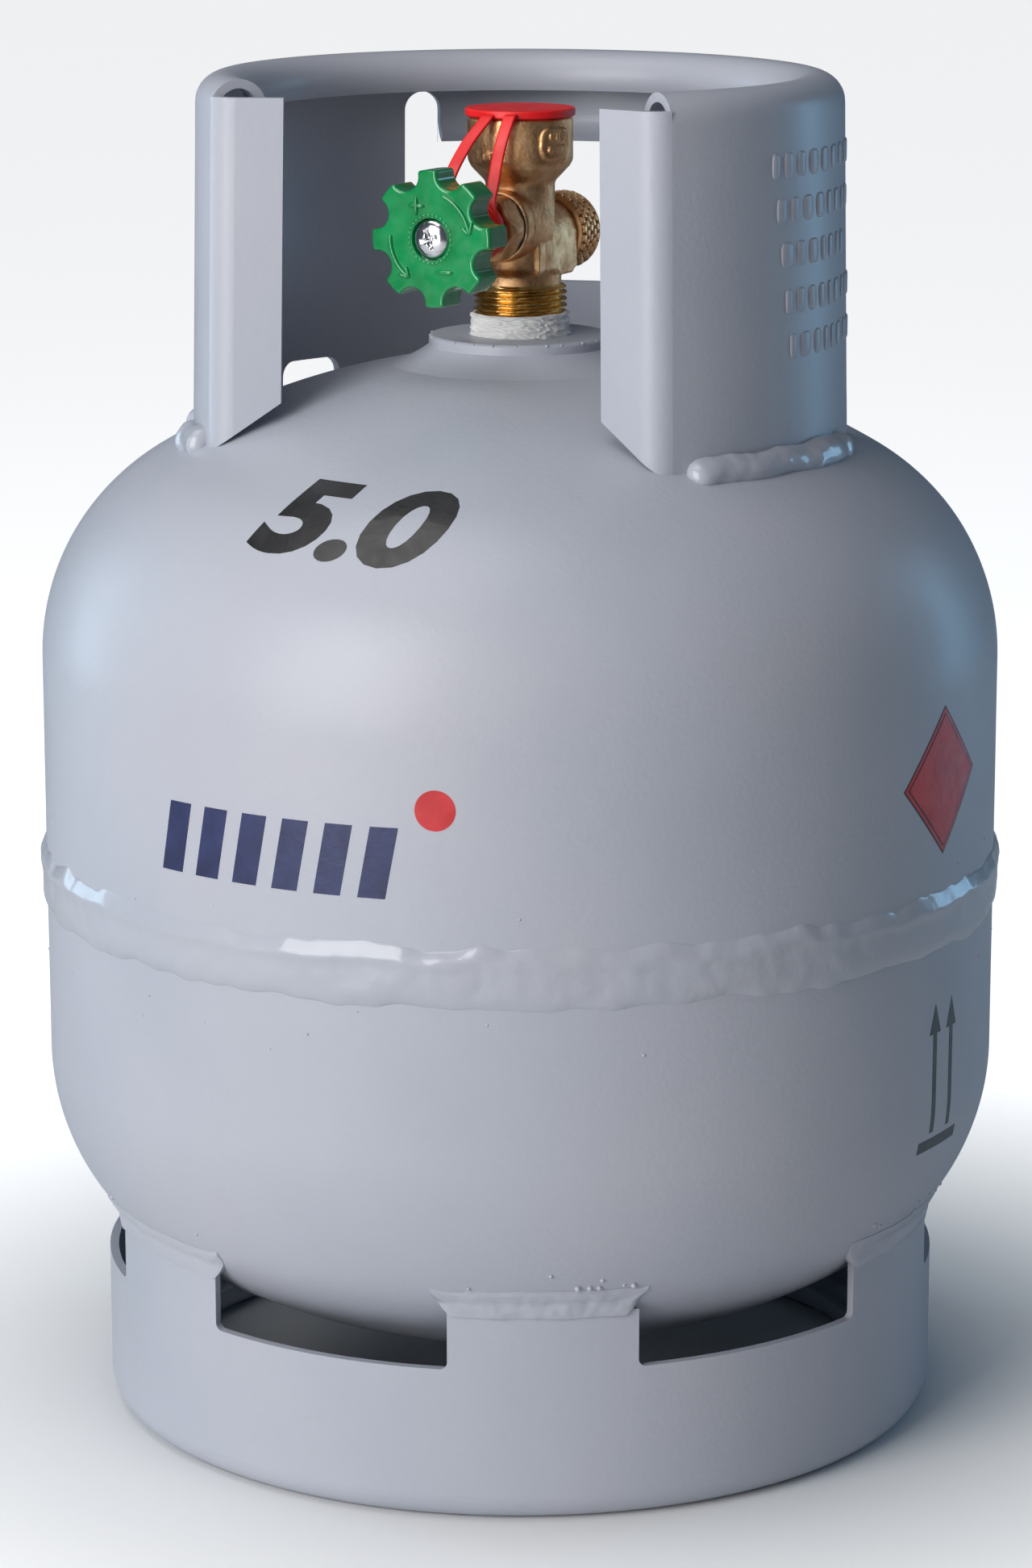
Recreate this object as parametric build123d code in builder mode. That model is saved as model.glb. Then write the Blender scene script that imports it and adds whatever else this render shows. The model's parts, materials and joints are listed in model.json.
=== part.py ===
from build123d import *
import os
from math import asin, cos, degrees, radians, sin, sqrt

# Refillable 12 litre propane cylinder: a two-piece welded vessel with a foot ring, a guard collar
# and a hand-wheel valve that carries a relief valve and a tethered outlet cap.
# Millimetres. +Z is up and the origin is the centre of the foot ring's standing circle.
# The front is -Y, and the guard's opening and the handwheel face it, turned towards -X.

# ---------------------------------------------------------------- driving dimensions
body_radius = 134.2
wall = 2.0
knuckle_radius = 65.0
crown_radius = 202.0
lower_head_z = 104.5
upper_head_z = 216.1
seam_z = 155.0
root_gap = 3.0
backing_lip = 11.0
weld_half_width = 8.7
weld_height = 2.2

boss_radius = 25.4
boss_top_z = 305.0
boss_bottom_z = 290.0
boss_bore_radius = 13.3
thread_radius = 12.6
tape_top_z = 311.0

guard_sheet = 2.5
guard_rim_radius = 89.25
guard_base_radius = 91.2
guard_base_z = 272.0
guard_curl_radius = 8.0
total_height = 377.4
flange_top_z = 373.0
flange_length = 13.0
flange_fold = 65.0
fold_radius = 8.0
opening_turn = 21.4
opening_half_angle = 47.5
window_half_angle = 44.0
window_bottom_z = 309.0
window_top_z = 350.0
relief_slot_width = 10.8
relief_slot_top_z = 365.0
drain_angle = 114.7
drain_length = 22.0
drain_top_z = 289.0
flange_foot_z = 292.0

foot_radius = 118.5
foot_sheet = 2.5
foot_curl_radius = 7.3
tab_count = 6
tab_turn = 3.0
tab_top_z = 59.2
notch_angle = 35.0
notch_bottom_z = 43.0
notch_corner = 2.0

wheel_turn = 30.0
stem_z = 335.7
relief_z = 331.5
cup_radius = 14.6
cup_top_z = 365.2
outlet_thread_radius = 11.24
outlet_mouth_radius = 12.3
wheel_radius = 18.5
wheel_face = 48.4
wheel_thickness = 10.0
cap_turn = 22.0
cap_radius = 15.2
running_gap = 0.05

# ---------------------------------------------------------------- derived places
head_join = degrees(asin((body_radius - knuckle_radius) / (crown_radius - knuckle_radius)))
head_height = crown_radius - (crown_radius - knuckle_radius) * cos(radians(head_join))
upper_crown_z = upper_head_z + head_height - crown_radius
lower_crown_z = lower_head_z - head_height + crown_radius
knuckle_centre = body_radius - knuckle_radius
guard_curl_z = total_height - guard_curl_radius
guard_curl_centre = guard_rim_radius - guard_curl_radius


def crown_height(radius):
    """Height of the upper head's outside at this radius, inside the crown."""
    return upper_crown_z + sqrt(crown_radius**2 - radius**2)


def knuckle_depth(radius):
    """Height of the lower head's outside at this radius, inside the knuckle."""
    return lower_head_z - sqrt(knuckle_radius**2 - (radius - knuckle_centre) ** 2)


def guard_radius(height):
    """Outside radius of the guard, which narrows a little from its base to its rim."""
    share = (height - guard_base_z) / (guard_curl_z - guard_base_z)
    return guard_base_radius + share * (guard_rim_radius - guard_base_radius)


def heading(angle):
    """Level direction that points to the front, turned by this angle towards -X."""
    return Vector(-sin(radians(angle)), -cos(radians(angle)), 0)


def radial_plane(angle):
    """Upright plane through the vessel's axis: local x points outwards along a polar angle."""
    outwards = Vector(cos(radians(angle)), sin(radians(angle)), 0)
    return Plane(origin=(0, 0, 0), x_dir=outwards, z_dir=outwards.cross(Vector(0, 0, 1)))


def wall_plane(angle, distance):
    """Upright plane square to a polar direction, for cutting through a ring from its inside."""
    outwards = Vector(cos(radians(angle)), sin(radians(angle)), 0)
    sideways = Vector(-sin(radians(angle)), cos(radians(angle)), 0)
    return Plane(origin=outwards * distance, x_dir=sideways, z_dir=outwards)


def section_plane(direction, height):
    """Upright plane along a level direction: local x is the distance from the vessel's axis."""
    sideways = direction.cross(Vector(0, 0, 1))
    return Plane(origin=(0, 0, height), x_dir=direction, z_dir=sideways)


def cross_plane(direction, height, distance):
    """Plane square to a level direction, with its local y pointing up."""
    sideways = Vector(0, 0, 1).cross(direction)
    return Plane(origin=direction * distance + Vector(0, 0, height), x_dir=sideways, z_dir=direction)


def save(part, name):
    part.label = name
    export_step(part, f"parts/{name}.step")


wheel_way = heading(wheel_turn)
relief_way = wheel_way * -1
cap_way = heading(cap_turn)
wheel_section = section_plane(wheel_way, stem_z)
wheel_axis = Axis((0, 0, stem_z), wheel_way)
relief_section = section_plane(relief_way, relief_z)
relief_axis = Axis((0, 0, relief_z), relief_way)
os.makedirs("parts", exist_ok=True)


# ---------------------------------------------------------------- pressure vessel
def upper_outline(inset):
    """Upper head from the straight side to the axis, at this depth inside the outside face."""
    CenterArc((knuckle_centre, upper_head_z), knuckle_radius - inset, 0, 90 - head_join)
    CenterArc((0, upper_crown_z), crown_radius - inset, 90 - head_join, head_join)


def lower_outline(inset):
    """Lower head from the straight side to the axis, at this depth inside the outside face."""
    CenterArc((knuckle_centre, lower_head_z), knuckle_radius - inset, 0, head_join - 90)
    CenterArc((0, lower_crown_z), crown_radius - inset, head_join - 90, -head_join)


upper_apex_z = upper_crown_z + crown_radius
lower_apex_z = lower_crown_z - crown_radius
inner_radius = body_radius - wall
lip_radius = inner_radius - wall
seam_low_z = seam_z - root_gap / 2
seam_high_z = seam_z + root_gap / 2

# The vessel as one filled body: only a tool that trims the pieces welded on outside.
with BuildPart() as vessel_core:
    with BuildSketch(Plane.XZ):
        with BuildLine():
            Line((0, lower_apex_z), (0, upper_apex_z))
            upper_outline(0)
            Line((body_radius, upper_head_z), (body_radius, lower_head_z))
            lower_outline(0)
        make_face()
    revolve(axis=Axis.Z)

with BuildPart() as upper_shell:
    with BuildSketch(Plane.XZ):
        with BuildLine():
            Line((body_radius, seam_high_z), (body_radius, upper_head_z))
            upper_outline(0)
            Line((0, upper_apex_z), (0, upper_apex_z - wall))
            upper_outline(wall)
            Line((inner_radius, upper_head_z), (inner_radius, seam_high_z))
            Line((inner_radius, seam_high_z), (body_radius, seam_high_z))
        make_face()
    revolve(axis=Axis.Z)
    with BuildSketch(Plane.XY.offset(upper_head_z)):
        Circle(boss_radius)
    extrude(amount=upper_apex_z, mode=Mode.SUBTRACT)
save(upper_shell.part, "upper_shell")

# The lower shell is joggled in at its rim, so the rim backs the girth weld inside the upper shell.
with BuildPart() as lower_shell:
    with BuildSketch(Plane.XZ):
        with BuildLine():
            Polyline(
                (body_radius, lower_head_z),
                (body_radius, seam_low_z),
                (inner_radius, seam_low_z),
                (inner_radius, seam_high_z + backing_lip),
                (lip_radius, seam_high_z + backing_lip),
                (lip_radius, seam_low_z - wall),
                (inner_radius, seam_low_z - 2 * wall),
                (inner_radius, lower_head_z),
            )
            lower_outline(0)
            Line((0, lower_apex_z), (0, lower_apex_z + wall))
            lower_outline(wall)
        make_face()
    revolve(axis=Axis.Z)
save(lower_shell.part, "lower_shell")

with BuildPart() as girth_weld:
    with BuildSketch(Plane.XZ):
        with BuildLine():
            Polyline(
                (body_radius, seam_z - weld_half_width),
                (body_radius, seam_low_z),
                (inner_radius, seam_low_z),
                (inner_radius, seam_high_z),
                (body_radius, seam_high_z),
                (body_radius, seam_z + weld_half_width),
            )
            ThreePointArc(
                (body_radius, seam_z + weld_half_width),
                (body_radius + weld_height, seam_z),
                (body_radius, seam_z - weld_half_width),
            )
        make_face()
    revolve(axis=Axis.Z)
save(girth_weld.part, "girth_weld")

# ---------------------------------------------------------------- neck
with BuildPart() as neck_ring:
    with BuildSketch(Plane.XY.offset(boss_bottom_z)):
        Circle(boss_radius)
        Circle(boss_bore_radius, mode=Mode.SUBTRACT)
    extrude(amount=boss_top_z - boss_bottom_z)
    top_rim = neck_ring.edges().group_by(Axis.Z)[-1].sort_by(SortBy.LENGTH)[-1]
    fillet(top_rim, 1.2)
save(neck_ring.part, "neck_ring")

neck_toe_radius = 35.5
neck_weld_top_z = 302.0
neck_weld_waist = (boss_radius + 4.2, crown_height(boss_radius) + 1.0)
with BuildPart() as neck_weld:
    with BuildSketch(Plane.XZ):
        with BuildLine():
            toe_angle = degrees(asin(neck_toe_radius / crown_radius))
            root_angle = degrees(asin(boss_radius / crown_radius))
            CenterArc((0, upper_crown_z), crown_radius, 90 - toe_angle, toe_angle - root_angle)
            Line((boss_radius, crown_height(boss_radius)), (boss_radius, neck_weld_top_z))
            ThreePointArc(
                (boss_radius, neck_weld_top_z),
                neck_weld_waist,
                (neck_toe_radius, crown_height(neck_toe_radius)),
            )
        make_face()
    revolve(axis=Axis.Z)
save(neck_weld.part, "neck_weld")

# ---------------------------------------------------------------- guard collar
# The guard is drawn with its opening centred on the local -y, then turned as a whole.
guard_frame = Plane(origin=(0, 0, 0), x_dir=heading(opening_turn - 90), z_dir=(0, 0, 1))
guard_start = -90 + opening_half_angle
guard_arc = 360 - 2 * opening_half_angle


def guard_angle(local_angle):
    """Polar angle on the vessel of an angle on the guard."""
    return local_angle - opening_turn


def guard_side(radius, bend):
    """One side of the sheet seen from above: flange, fold, long arc, fold, flange."""
    long_arc = CenterArc((0, 0), radius, guard_start, guard_arc)
    first_fold = JernArc(long_arc @ 0, (long_arc % 0) * -1, bend, -flange_fold)
    last_fold = JernArc(long_arc @ 1, long_arc % 1, bend, flange_fold)
    first_flange = PolarLine(first_fold @ 1, flange_length, direction=first_fold % 1)
    last_flange = PolarLine(last_fold @ 1, flange_length, direction=last_fold % 1)
    return first_flange, last_flange


with BuildPart() as collar:
    for level in (guard_base_z, flange_top_z):
        with BuildSketch(guard_frame.offset(level)):
            with BuildLine():
                outer_flanges = guard_side(guard_radius(level), fold_radius)
                inner_flanges = guard_side(guard_radius(level) - guard_sheet, fold_radius - guard_sheet)
                for outer, inner in zip(outer_flanges, inner_flanges):
                    Line(outer @ 1, inner @ 1)
            make_face()
    loft(ruled=True)
    # The long arc stops where its curl begins, while the flanges stand a little taller.
    with BuildSketch(radial_plane(guard_angle(guard_start))):
        with Locations((guard_rim_radius, guard_curl_z + guard_curl_radius)):
            Rectangle(6 * guard_sheet, 2 * guard_curl_radius)
    revolve(axis=Axis.Z, revolution_arc=guard_arc, mode=Mode.SUBTRACT)
    # Rolled rim, open underneath.
    with BuildSketch(radial_plane(guard_angle(guard_start))):
        with BuildLine():
            curl_centre = (guard_curl_centre, guard_curl_z)
            curl_out = CenterArc(curl_centre, guard_curl_radius, 0, 205)
            curl_in = CenterArc(curl_centre, guard_curl_radius - guard_sheet, 0, 205)
            Line(curl_out @ 0, curl_in @ 0)
            Line(curl_out @ 1, curl_in @ 1)
        make_face()
    revolve(axis=Axis.Z, revolution_arc=guard_arc)
    # Hand-hold opposite the opening, with a narrow slot rising from each of its upper ends.
    window_start = 90 - window_half_angle
    with BuildSketch(radial_plane(guard_angle(window_start))):
        with Locations((guard_rim_radius, (window_bottom_z + window_top_z) / 2)):
            Rectangle(8 * guard_sheet, window_top_z - window_bottom_z)
    revolve(axis=Axis.Z, revolution_arc=2 * window_half_angle, mode=Mode.SUBTRACT)
    slot_turn = degrees(relief_slot_width / 2 / guard_rim_radius)
    slot_middle_z = (window_bottom_z + relief_slot_top_z) / 2 + relief_slot_width
    slot_length = 2 * (relief_slot_top_z - slot_middle_z)
    for side in (-1, 1):
        slot_angle = guard_angle(90 + side * (window_half_angle - slot_turn))
        with BuildSketch(wall_plane(slot_angle, guard_rim_radius - 4 * guard_sheet)):
            with Locations((0, slot_middle_z)):
                SlotOverall(slot_length, relief_slot_width, rotation=90)
        extrude(amount=8 * guard_sheet, mode=Mode.SUBTRACT)
    # The grip between the slots turns in along its lower edge.
    grip_half_angle = window_half_angle - 2 * slot_turn
    grip_bend_z = window_top_z + 8.0
    grip_bend = 8.5
    grip_turn = 62.0
    grip_plane = radial_plane(guard_angle(90 - grip_half_angle))
    with BuildSketch(grip_plane):
        with Locations((guard_rim_radius, (window_top_z + grip_bend_z) / 2 - 1)):
            Rectangle(8 * guard_sheet, grip_bend_z - window_top_z + 2)
    revolve(axis=Axis.Z, revolution_arc=2 * grip_half_angle, mode=Mode.SUBTRACT)
    with BuildSketch(grip_plane):
        with BuildLine():
            bend_centre = (guard_radius(grip_bend_z) - grip_bend, grip_bend_z)
            bend_out = CenterArc(bend_centre, grip_bend, 0, -grip_turn)
            bend_in = CenterArc(bend_centre, grip_bend - guard_sheet, 0, -grip_turn)
            Line(bend_out @ 0, bend_in @ 0)
            Line(bend_out @ 1, bend_in @ 1)
        make_face()
    revolve(axis=Axis.Z, revolution_arc=2 * grip_half_angle)
    # Drain slots along the foot of the guard.
    for side in (-1, 1):
        with BuildSketch(wall_plane(guard_angle(-90 + side * drain_angle), guard_rim_radius - 10)):
            with Locations((0, drain_top_z - drain_length / 2)):
                RectangleRounded(drain_length, drain_length, drain_length / 5)
        extrude(amount=20, mode=Mode.SUBTRACT)
    # The free corner of each flange is cut off above the head.
    for flange in outer_flanges:
        back = (flange % 1) * -1
        tip_plane = Plane(
            origin=guard_frame.from_local_coords(flange @ 1),
            x_dir=guard_frame.x_dir * back.X + guard_frame.y_dir * back.Y,
            z_dir=(guard_frame.x_dir * back.X + guard_frame.y_dir * back.Y).cross(Vector(0, 0, 1)),
        )
        with BuildSketch(tip_plane):
            with BuildLine():
                Polyline(
                    (-guard_sheet, guard_base_z - 5),
                    (flange_length + 7, guard_base_z - 5),
                    (flange_length + 7, crown_height(guard_base_radius)),
                    (0, flange_foot_z),
                    (-guard_sheet, flange_foot_z),
                    close=True,
                )
            make_face()
        extrude(amount=2 * guard_sheet, both=True, mode=Mode.SUBTRACT)
    add(vessel_core.part, mode=Mode.SUBTRACT)
save(collar.part, "collar")

# Beads along the outside of the guard's foot: polar start on the guard and length, in degrees.
collar_beads = [(-40, 46), (38, 26), (73, 34), (116, 26), (172, 22), (211, 10)]
bead_leg = 5.0
with BuildPart() as collar_welds:
    foot_edge = guard_radius(crown_height(guard_base_radius))
    toe_edge = foot_edge + bead_leg
    for bead_start, bead_arc in collar_beads:
        with BuildSketch(radial_plane(guard_angle(bead_start))):
            with BuildLine():
                Polyline(
                    (toe_edge, crown_height(toe_edge)),
                    (foot_edge, crown_height(foot_edge) - 1),
                    (foot_edge - 1, crown_height(foot_edge) - 1),
                    (foot_edge - 1, crown_height(foot_edge) + bead_leg),
                )
                ThreePointArc(
                    (foot_edge - 1, crown_height(foot_edge) + bead_leg),
                    (foot_edge + bead_leg * 0.6, crown_height(foot_edge) + bead_leg * 0.5),
                    (toe_edge, crown_height(toe_edge)),
                )
            make_face()
        revolve(axis=Axis.Z, revolution_arc=bead_arc)
    add(vessel_core.part, mode=Mode.SUBTRACT)
    add(collar.part, mode=Mode.SUBTRACT)
save(collar_welds.part, "collar_welds")

# ---------------------------------------------------------------- foot ring
tab_angles = [tab_turn - 90 + 360 / tab_count * tab for tab in range(tab_count)]
curl_flat = 3.0
curl_middle = foot_radius - foot_curl_radius
with BuildPart() as foot_ring:
    with BuildSketch(Plane.XZ):
        with BuildLine():
            inside = foot_radius - foot_sheet
            curl_low = foot_curl_radius - foot_sheet
            Polyline(
                (inside, foot_curl_radius),
                (inside, tab_top_z),
                (foot_radius, tab_top_z),
                (foot_radius, foot_curl_radius),
            )
            outer_corner = CenterArc((curl_middle, foot_curl_radius), foot_curl_radius, 0, -90)
            standing = Line(outer_corner @ 1, (curl_middle - curl_flat, 0))
            far_middle = (curl_middle - curl_flat, foot_curl_radius)
            far_out = CenterArc(far_middle, foot_curl_radius, -90, -100)
            far_in = CenterArc(far_middle, curl_low, -90, -100)
            Line(far_out @ 1, far_in @ 1)
            Line((curl_middle, foot_sheet), (curl_middle - curl_flat, foot_sheet))
            CenterArc((curl_middle, foot_curl_radius), curl_low, 0, -90)
        make_face()
    revolve(axis=Axis.Z)
    # Notches leave six tabs that reach the lower head.
    notch_width = 2 * foot_radius * sin(radians(notch_angle / 2))
    notch_height = 2 * (tab_top_z - notch_bottom_z)
    for tab_angle in tab_angles:
        notch_middle = tab_angle + 180 / tab_count
        with BuildSketch(wall_plane(notch_middle, foot_radius - 25)):
            with Locations((0, notch_bottom_z + notch_height / 2)):
                RectangleRounded(notch_width, notch_height, notch_corner)
        extrude(amount=40, mode=Mode.SUBTRACT)
save(foot_ring.part, "foot_ring")

foot_bead_arc = 23.0
foot_toe_radius = foot_radius + 3.8
with BuildPart() as foot_ring_welds:
    for tab_angle in tab_angles:
        with BuildSketch(radial_plane(tab_angle - foot_bead_arc / 2)):
            with BuildLine():
                knuckle = (knuckle_centre, lower_head_z)
                toe_turn = degrees(asin((foot_toe_radius - knuckle_centre) / knuckle_radius))
                heel_turn = degrees(asin((inside - knuckle_centre) / knuckle_radius))
                CenterArc(knuckle, knuckle_radius, toe_turn - 90, heel_turn - toe_turn)
                Polyline(
                    (inside, knuckle_depth(inside)),
                    (inside, tab_top_z),
                    (foot_radius, tab_top_z),
                    (foot_radius, tab_top_z - 2.5),
                )
                ThreePointArc(
                    (foot_radius, tab_top_z - 2.5),
                    (foot_radius + 3.4, tab_top_z + 2.2),
                    (foot_toe_radius, knuckle_depth(foot_toe_radius)),
                )
            make_face()
        revolve(axis=Axis.Z, revolution_arc=foot_bead_arc)
save(foot_ring_welds.part, "foot_ring_welds")

# ---------------------------------------------------------------- valve body
# Distances along the wheel's axis and along the relief axis count from the vessel's axis.
thread_end_z = 319.0
block_low_z = 321.0
block_high_z = 333.0
block_width = 18.6
block_front = 5.5
block_back = 15.9
neck_radius = 9.6
wheel_boss_radius = 9.7
wheel_boss_end = 12.5
relief_boss_radius = 9.0
relief_boss_end = 19.5
seat_face = 1.0
seat_radius = 2.2
chamber_radius = 5.0
bonnet_thread_start = 8.5
bonnet_thread_radius = 7.2
inlet_radius = 3.2
inlet_offset = 5.2
outlet_drop_radius = 2.8
outlet_drop_offset = 4.6
relief_seat = 14.0
relief_chamber_radius = 6.0
outlet_floor_z = 351.0
mouth_floor_z = 361.8

with BuildPart() as valve_body:
    with BuildSketch(Plane.XZ):
        with BuildLine():
            Polyline(
                (0, boss_bottom_z),
                (thread_radius, boss_bottom_z),
                (thread_radius, thread_end_z),
                (11.4, thread_end_z),
                (11.4, block_low_z + 1),
                (neck_radius, block_low_z + 1),
                (neck_radius, 347.2),
                (cup_radius, 352.6),
                (cup_radius, cup_top_z),
                (0, cup_top_z),
                close=True,
            )
        make_face()
    revolve(axis=Axis.Z)
    with BuildSketch(cross_plane(wheel_way, (block_low_z + block_high_z) / 2, -block_back)):
        RectangleRounded(block_width, block_high_z - block_low_z, 1.2)
    extrude(amount=block_back + block_front)
    with BuildSketch(cross_plane(wheel_way, stem_z, 0)):
        Circle(wheel_boss_radius)
    extrude(amount=wheel_boss_end)
    with BuildSketch(cross_plane(relief_way, relief_z, 0)):
        Circle(relief_boss_radius)
    extrude(amount=relief_boss_end)
    # Stem chamber with its seat, and the wider mouth that takes the bonnet.
    with BuildSketch(wheel_section):
        with BuildLine():
            Polyline(
                (seat_face, 0),
                (seat_face, chamber_radius),
                (bonnet_thread_start, chamber_radius),
                (bonnet_thread_start, bonnet_thread_radius),
                (wheel_boss_end + 1, bonnet_thread_radius),
                (wheel_boss_end + 1, 0),
                close=True,
            )
        make_face()
    revolve(axis=wheel_axis, mode=Mode.SUBTRACT)
    with BuildSketch(cross_plane(wheel_way, stem_z, seat_face)):
        Circle(seat_radius)
    extrude(amount=-(inlet_offset + seat_face), mode=Mode.SUBTRACT)
    # Gas way up from the vessel, and on from the chamber to the outlet.
    with BuildSketch(Plane.XY.offset(boss_bottom_z)):
        with Locations(tuple(relief_way * inlet_offset)[:2]):
            Circle(inlet_radius)
    extrude(amount=stem_z + inlet_radius - boss_bottom_z, mode=Mode.SUBTRACT)
    with BuildSketch(Plane.XY.offset(stem_z)):
        with Locations(tuple(wheel_way * outlet_drop_offset)[:2]):
            Circle(outlet_drop_radius)
    extrude(amount=outlet_floor_z - stem_z, mode=Mode.SUBTRACT)
    # Relief way and the chamber of the relief valve.
    with BuildSketch(cross_plane(relief_way, relief_z, inlet_offset)):
        Circle(seat_radius)
    extrude(amount=relief_seat - inlet_offset, mode=Mode.SUBTRACT)
    with BuildSketch(cross_plane(relief_way, relief_z, relief_seat)):
        Circle(relief_chamber_radius)
    extrude(amount=relief_boss_end, mode=Mode.SUBTRACT)
    # Outlet socket: cone seat, threaded wall and a wider mouth for the cap's spigot.
    with BuildSketch(Plane.XZ):
        with BuildLine():
            Polyline(
                (0, outlet_floor_z - 1),
                (outlet_thread_radius - 3.5, outlet_floor_z - 1),
                (outlet_thread_radius, outlet_floor_z + 1.5),
                (outlet_thread_radius, mouth_floor_z),
                (outlet_mouth_radius, mouth_floor_z),
                (outlet_mouth_radius, cup_top_z + 1),
                (0, cup_top_z + 1),
                close=True,
            )
        make_face()
    revolve(axis=Axis.Z, mode=Mode.SUBTRACT)
save(valve_body.part, "valve_body")

with BuildPart() as ptfe_tape:
    with BuildSketch(Plane.XY.offset(boss_bottom_z + 2)):
        Circle(boss_bore_radius)
        Circle(thread_radius, mode=Mode.SUBTRACT)
    extrude(amount=tape_top_z - boss_bottom_z - 2)
save(ptfe_tape.part, "ptfe_tape")

# ---------------------------------------------------------------- bonnet and stem
gasket_thickness = 0.8
gasket_radius = 9.0
bonnet_hex_start = wheel_boss_end + gasket_thickness
bonnet_hex_end = 20.5
bonnet_end = 27.0
bonnet_neck_radius = 6.3
bonnet_hex_apothem = 8.7
bonnet_step = 14.8
stem_radius = 3.5
stem_start = 11.9
slot_end = 18.2
square_start = 31.0
stem_end = 45.2
square_width = 5.0
first_groove = 20.9
second_groove = 24.1
groove_half = 0.6
groove_radius = 2.5
wheel_recess = 45.4
wheel_screw_radius = 2.0
wheel_screw_depth = 11.0

with BuildPart() as bonnet_gasket:
    with BuildSketch(cross_plane(wheel_way, stem_z, wheel_boss_end)):
        Circle(gasket_radius)
        Circle(bonnet_thread_radius, mode=Mode.SUBTRACT)
    extrude(amount=gasket_thickness)
save(bonnet_gasket.part, "bonnet_gasket")

with BuildPart() as bonnet:
    with BuildSketch(cross_plane(wheel_way, stem_z, bonnet_thread_start)):
        Circle(bonnet_thread_radius)
    extrude(amount=bonnet_hex_start - bonnet_thread_start)
    with BuildSketch(cross_plane(wheel_way, stem_z, bonnet_hex_start)):
        RegularPolygon(bonnet_hex_apothem, 6, major_radius=False)
    extrude(amount=bonnet_hex_end - bonnet_hex_start)
    with BuildSketch(cross_plane(wheel_way, stem_z, bonnet_hex_end)):
        Circle(bonnet_neck_radius)
    extrude(amount=bonnet_end - bonnet_hex_end)
    with BuildSketch(cross_plane(wheel_way, stem_z, bonnet_thread_start)):
        Circle(chamber_radius + 0.2)
    extrude(amount=bonnet_step - bonnet_thread_start, mode=Mode.SUBTRACT)
    with BuildSketch(cross_plane(wheel_way, stem_z, bonnet_step)):
        Circle(stem_radius + running_gap)
    extrude(amount=bonnet_end - bonnet_step, mode=Mode.SUBTRACT)
save(bonnet.part, "bonnet")

tongue_thickness = 2.0
disc_radius = 3.2
disc_depth = 2.0
with BuildPart() as stem:
    with BuildSketch(wheel_section):
        with BuildLine():
            Polyline(
                (stem_start, 0),
                (stem_start, chamber_radius),
                (bonnet_step - 0.1, chamber_radius),
                (bonnet_step - 0.1, stem_radius),
                (first_groove - groove_half, stem_radius),
                (first_groove - groove_half, groove_radius),
                (first_groove + groove_half, groove_radius),
                (first_groove + groove_half, stem_radius),
                (second_groove - groove_half, stem_radius),
                (second_groove - groove_half, groove_radius),
                (second_groove + groove_half, groove_radius),
                (second_groove + groove_half, stem_radius),
                (square_start, stem_radius),
                (square_start, 0),
                close=True,
            )
        make_face()
    revolve(axis=wheel_axis)
    with BuildSketch(cross_plane(wheel_way, stem_z, square_start)):
        Rectangle(square_width, square_width)
    extrude(amount=stem_end - square_start)
    with BuildSketch(cross_plane(wheel_way, stem_z, stem_end)):
        Circle(wheel_screw_radius)
    extrude(amount=-wheel_screw_depth, mode=Mode.SUBTRACT)
    # Slot that drives the plug's tongue and lets it slide.
    with BuildSketch(cross_plane(wheel_way, stem_z, stem_start)):
        Rectangle(2 * chamber_radius, tongue_thickness + 0.2)
    extrude(amount=slot_end - stem_start, mode=Mode.SUBTRACT)
save(stem.part, "stem")

with BuildPart() as stem_seals:
    for groove in (first_groove, second_groove):
        with BuildSketch(wheel_section):
            with Locations((groove, (groove_radius + stem_radius) / 2)):
                Circle((stem_radius - groove_radius) / 2 - 0.01)
        revolve(axis=wheel_axis)
save(stem_seals.part, "stem_seals")

with BuildPart() as valve_plug:
    with BuildSketch(wheel_section):
        with BuildLine():
            Polyline(
                (seat_face + 0.4, 0),
                (seat_face + 0.4, 3.9),
                (4.0, 3.9),
                (4.0, chamber_radius - running_gap),
                (8.0, chamber_radius - running_gap),
                (8.0, 0),
                close=True,
            )
        make_face()
    revolve(axis=wheel_axis)
    with BuildSketch(cross_plane(wheel_way, stem_z, 8.0)):
        Rectangle(6.0, tongue_thickness)
    extrude(amount=6.0)
    # Pocket for the seat disc.
    with BuildSketch(cross_plane(wheel_way, stem_z, seat_face)):
        Circle(disc_radius)
    extrude(amount=disc_depth, mode=Mode.SUBTRACT)
save(valve_plug.part, "valve_plug")

with BuildPart() as seat_disc:
    with BuildSketch(cross_plane(wheel_way, stem_z, seat_face + running_gap)):
        Circle(disc_radius)
    extrude(amount=disc_depth - running_gap)
save(seat_disc.part, "seat_disc")

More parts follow.
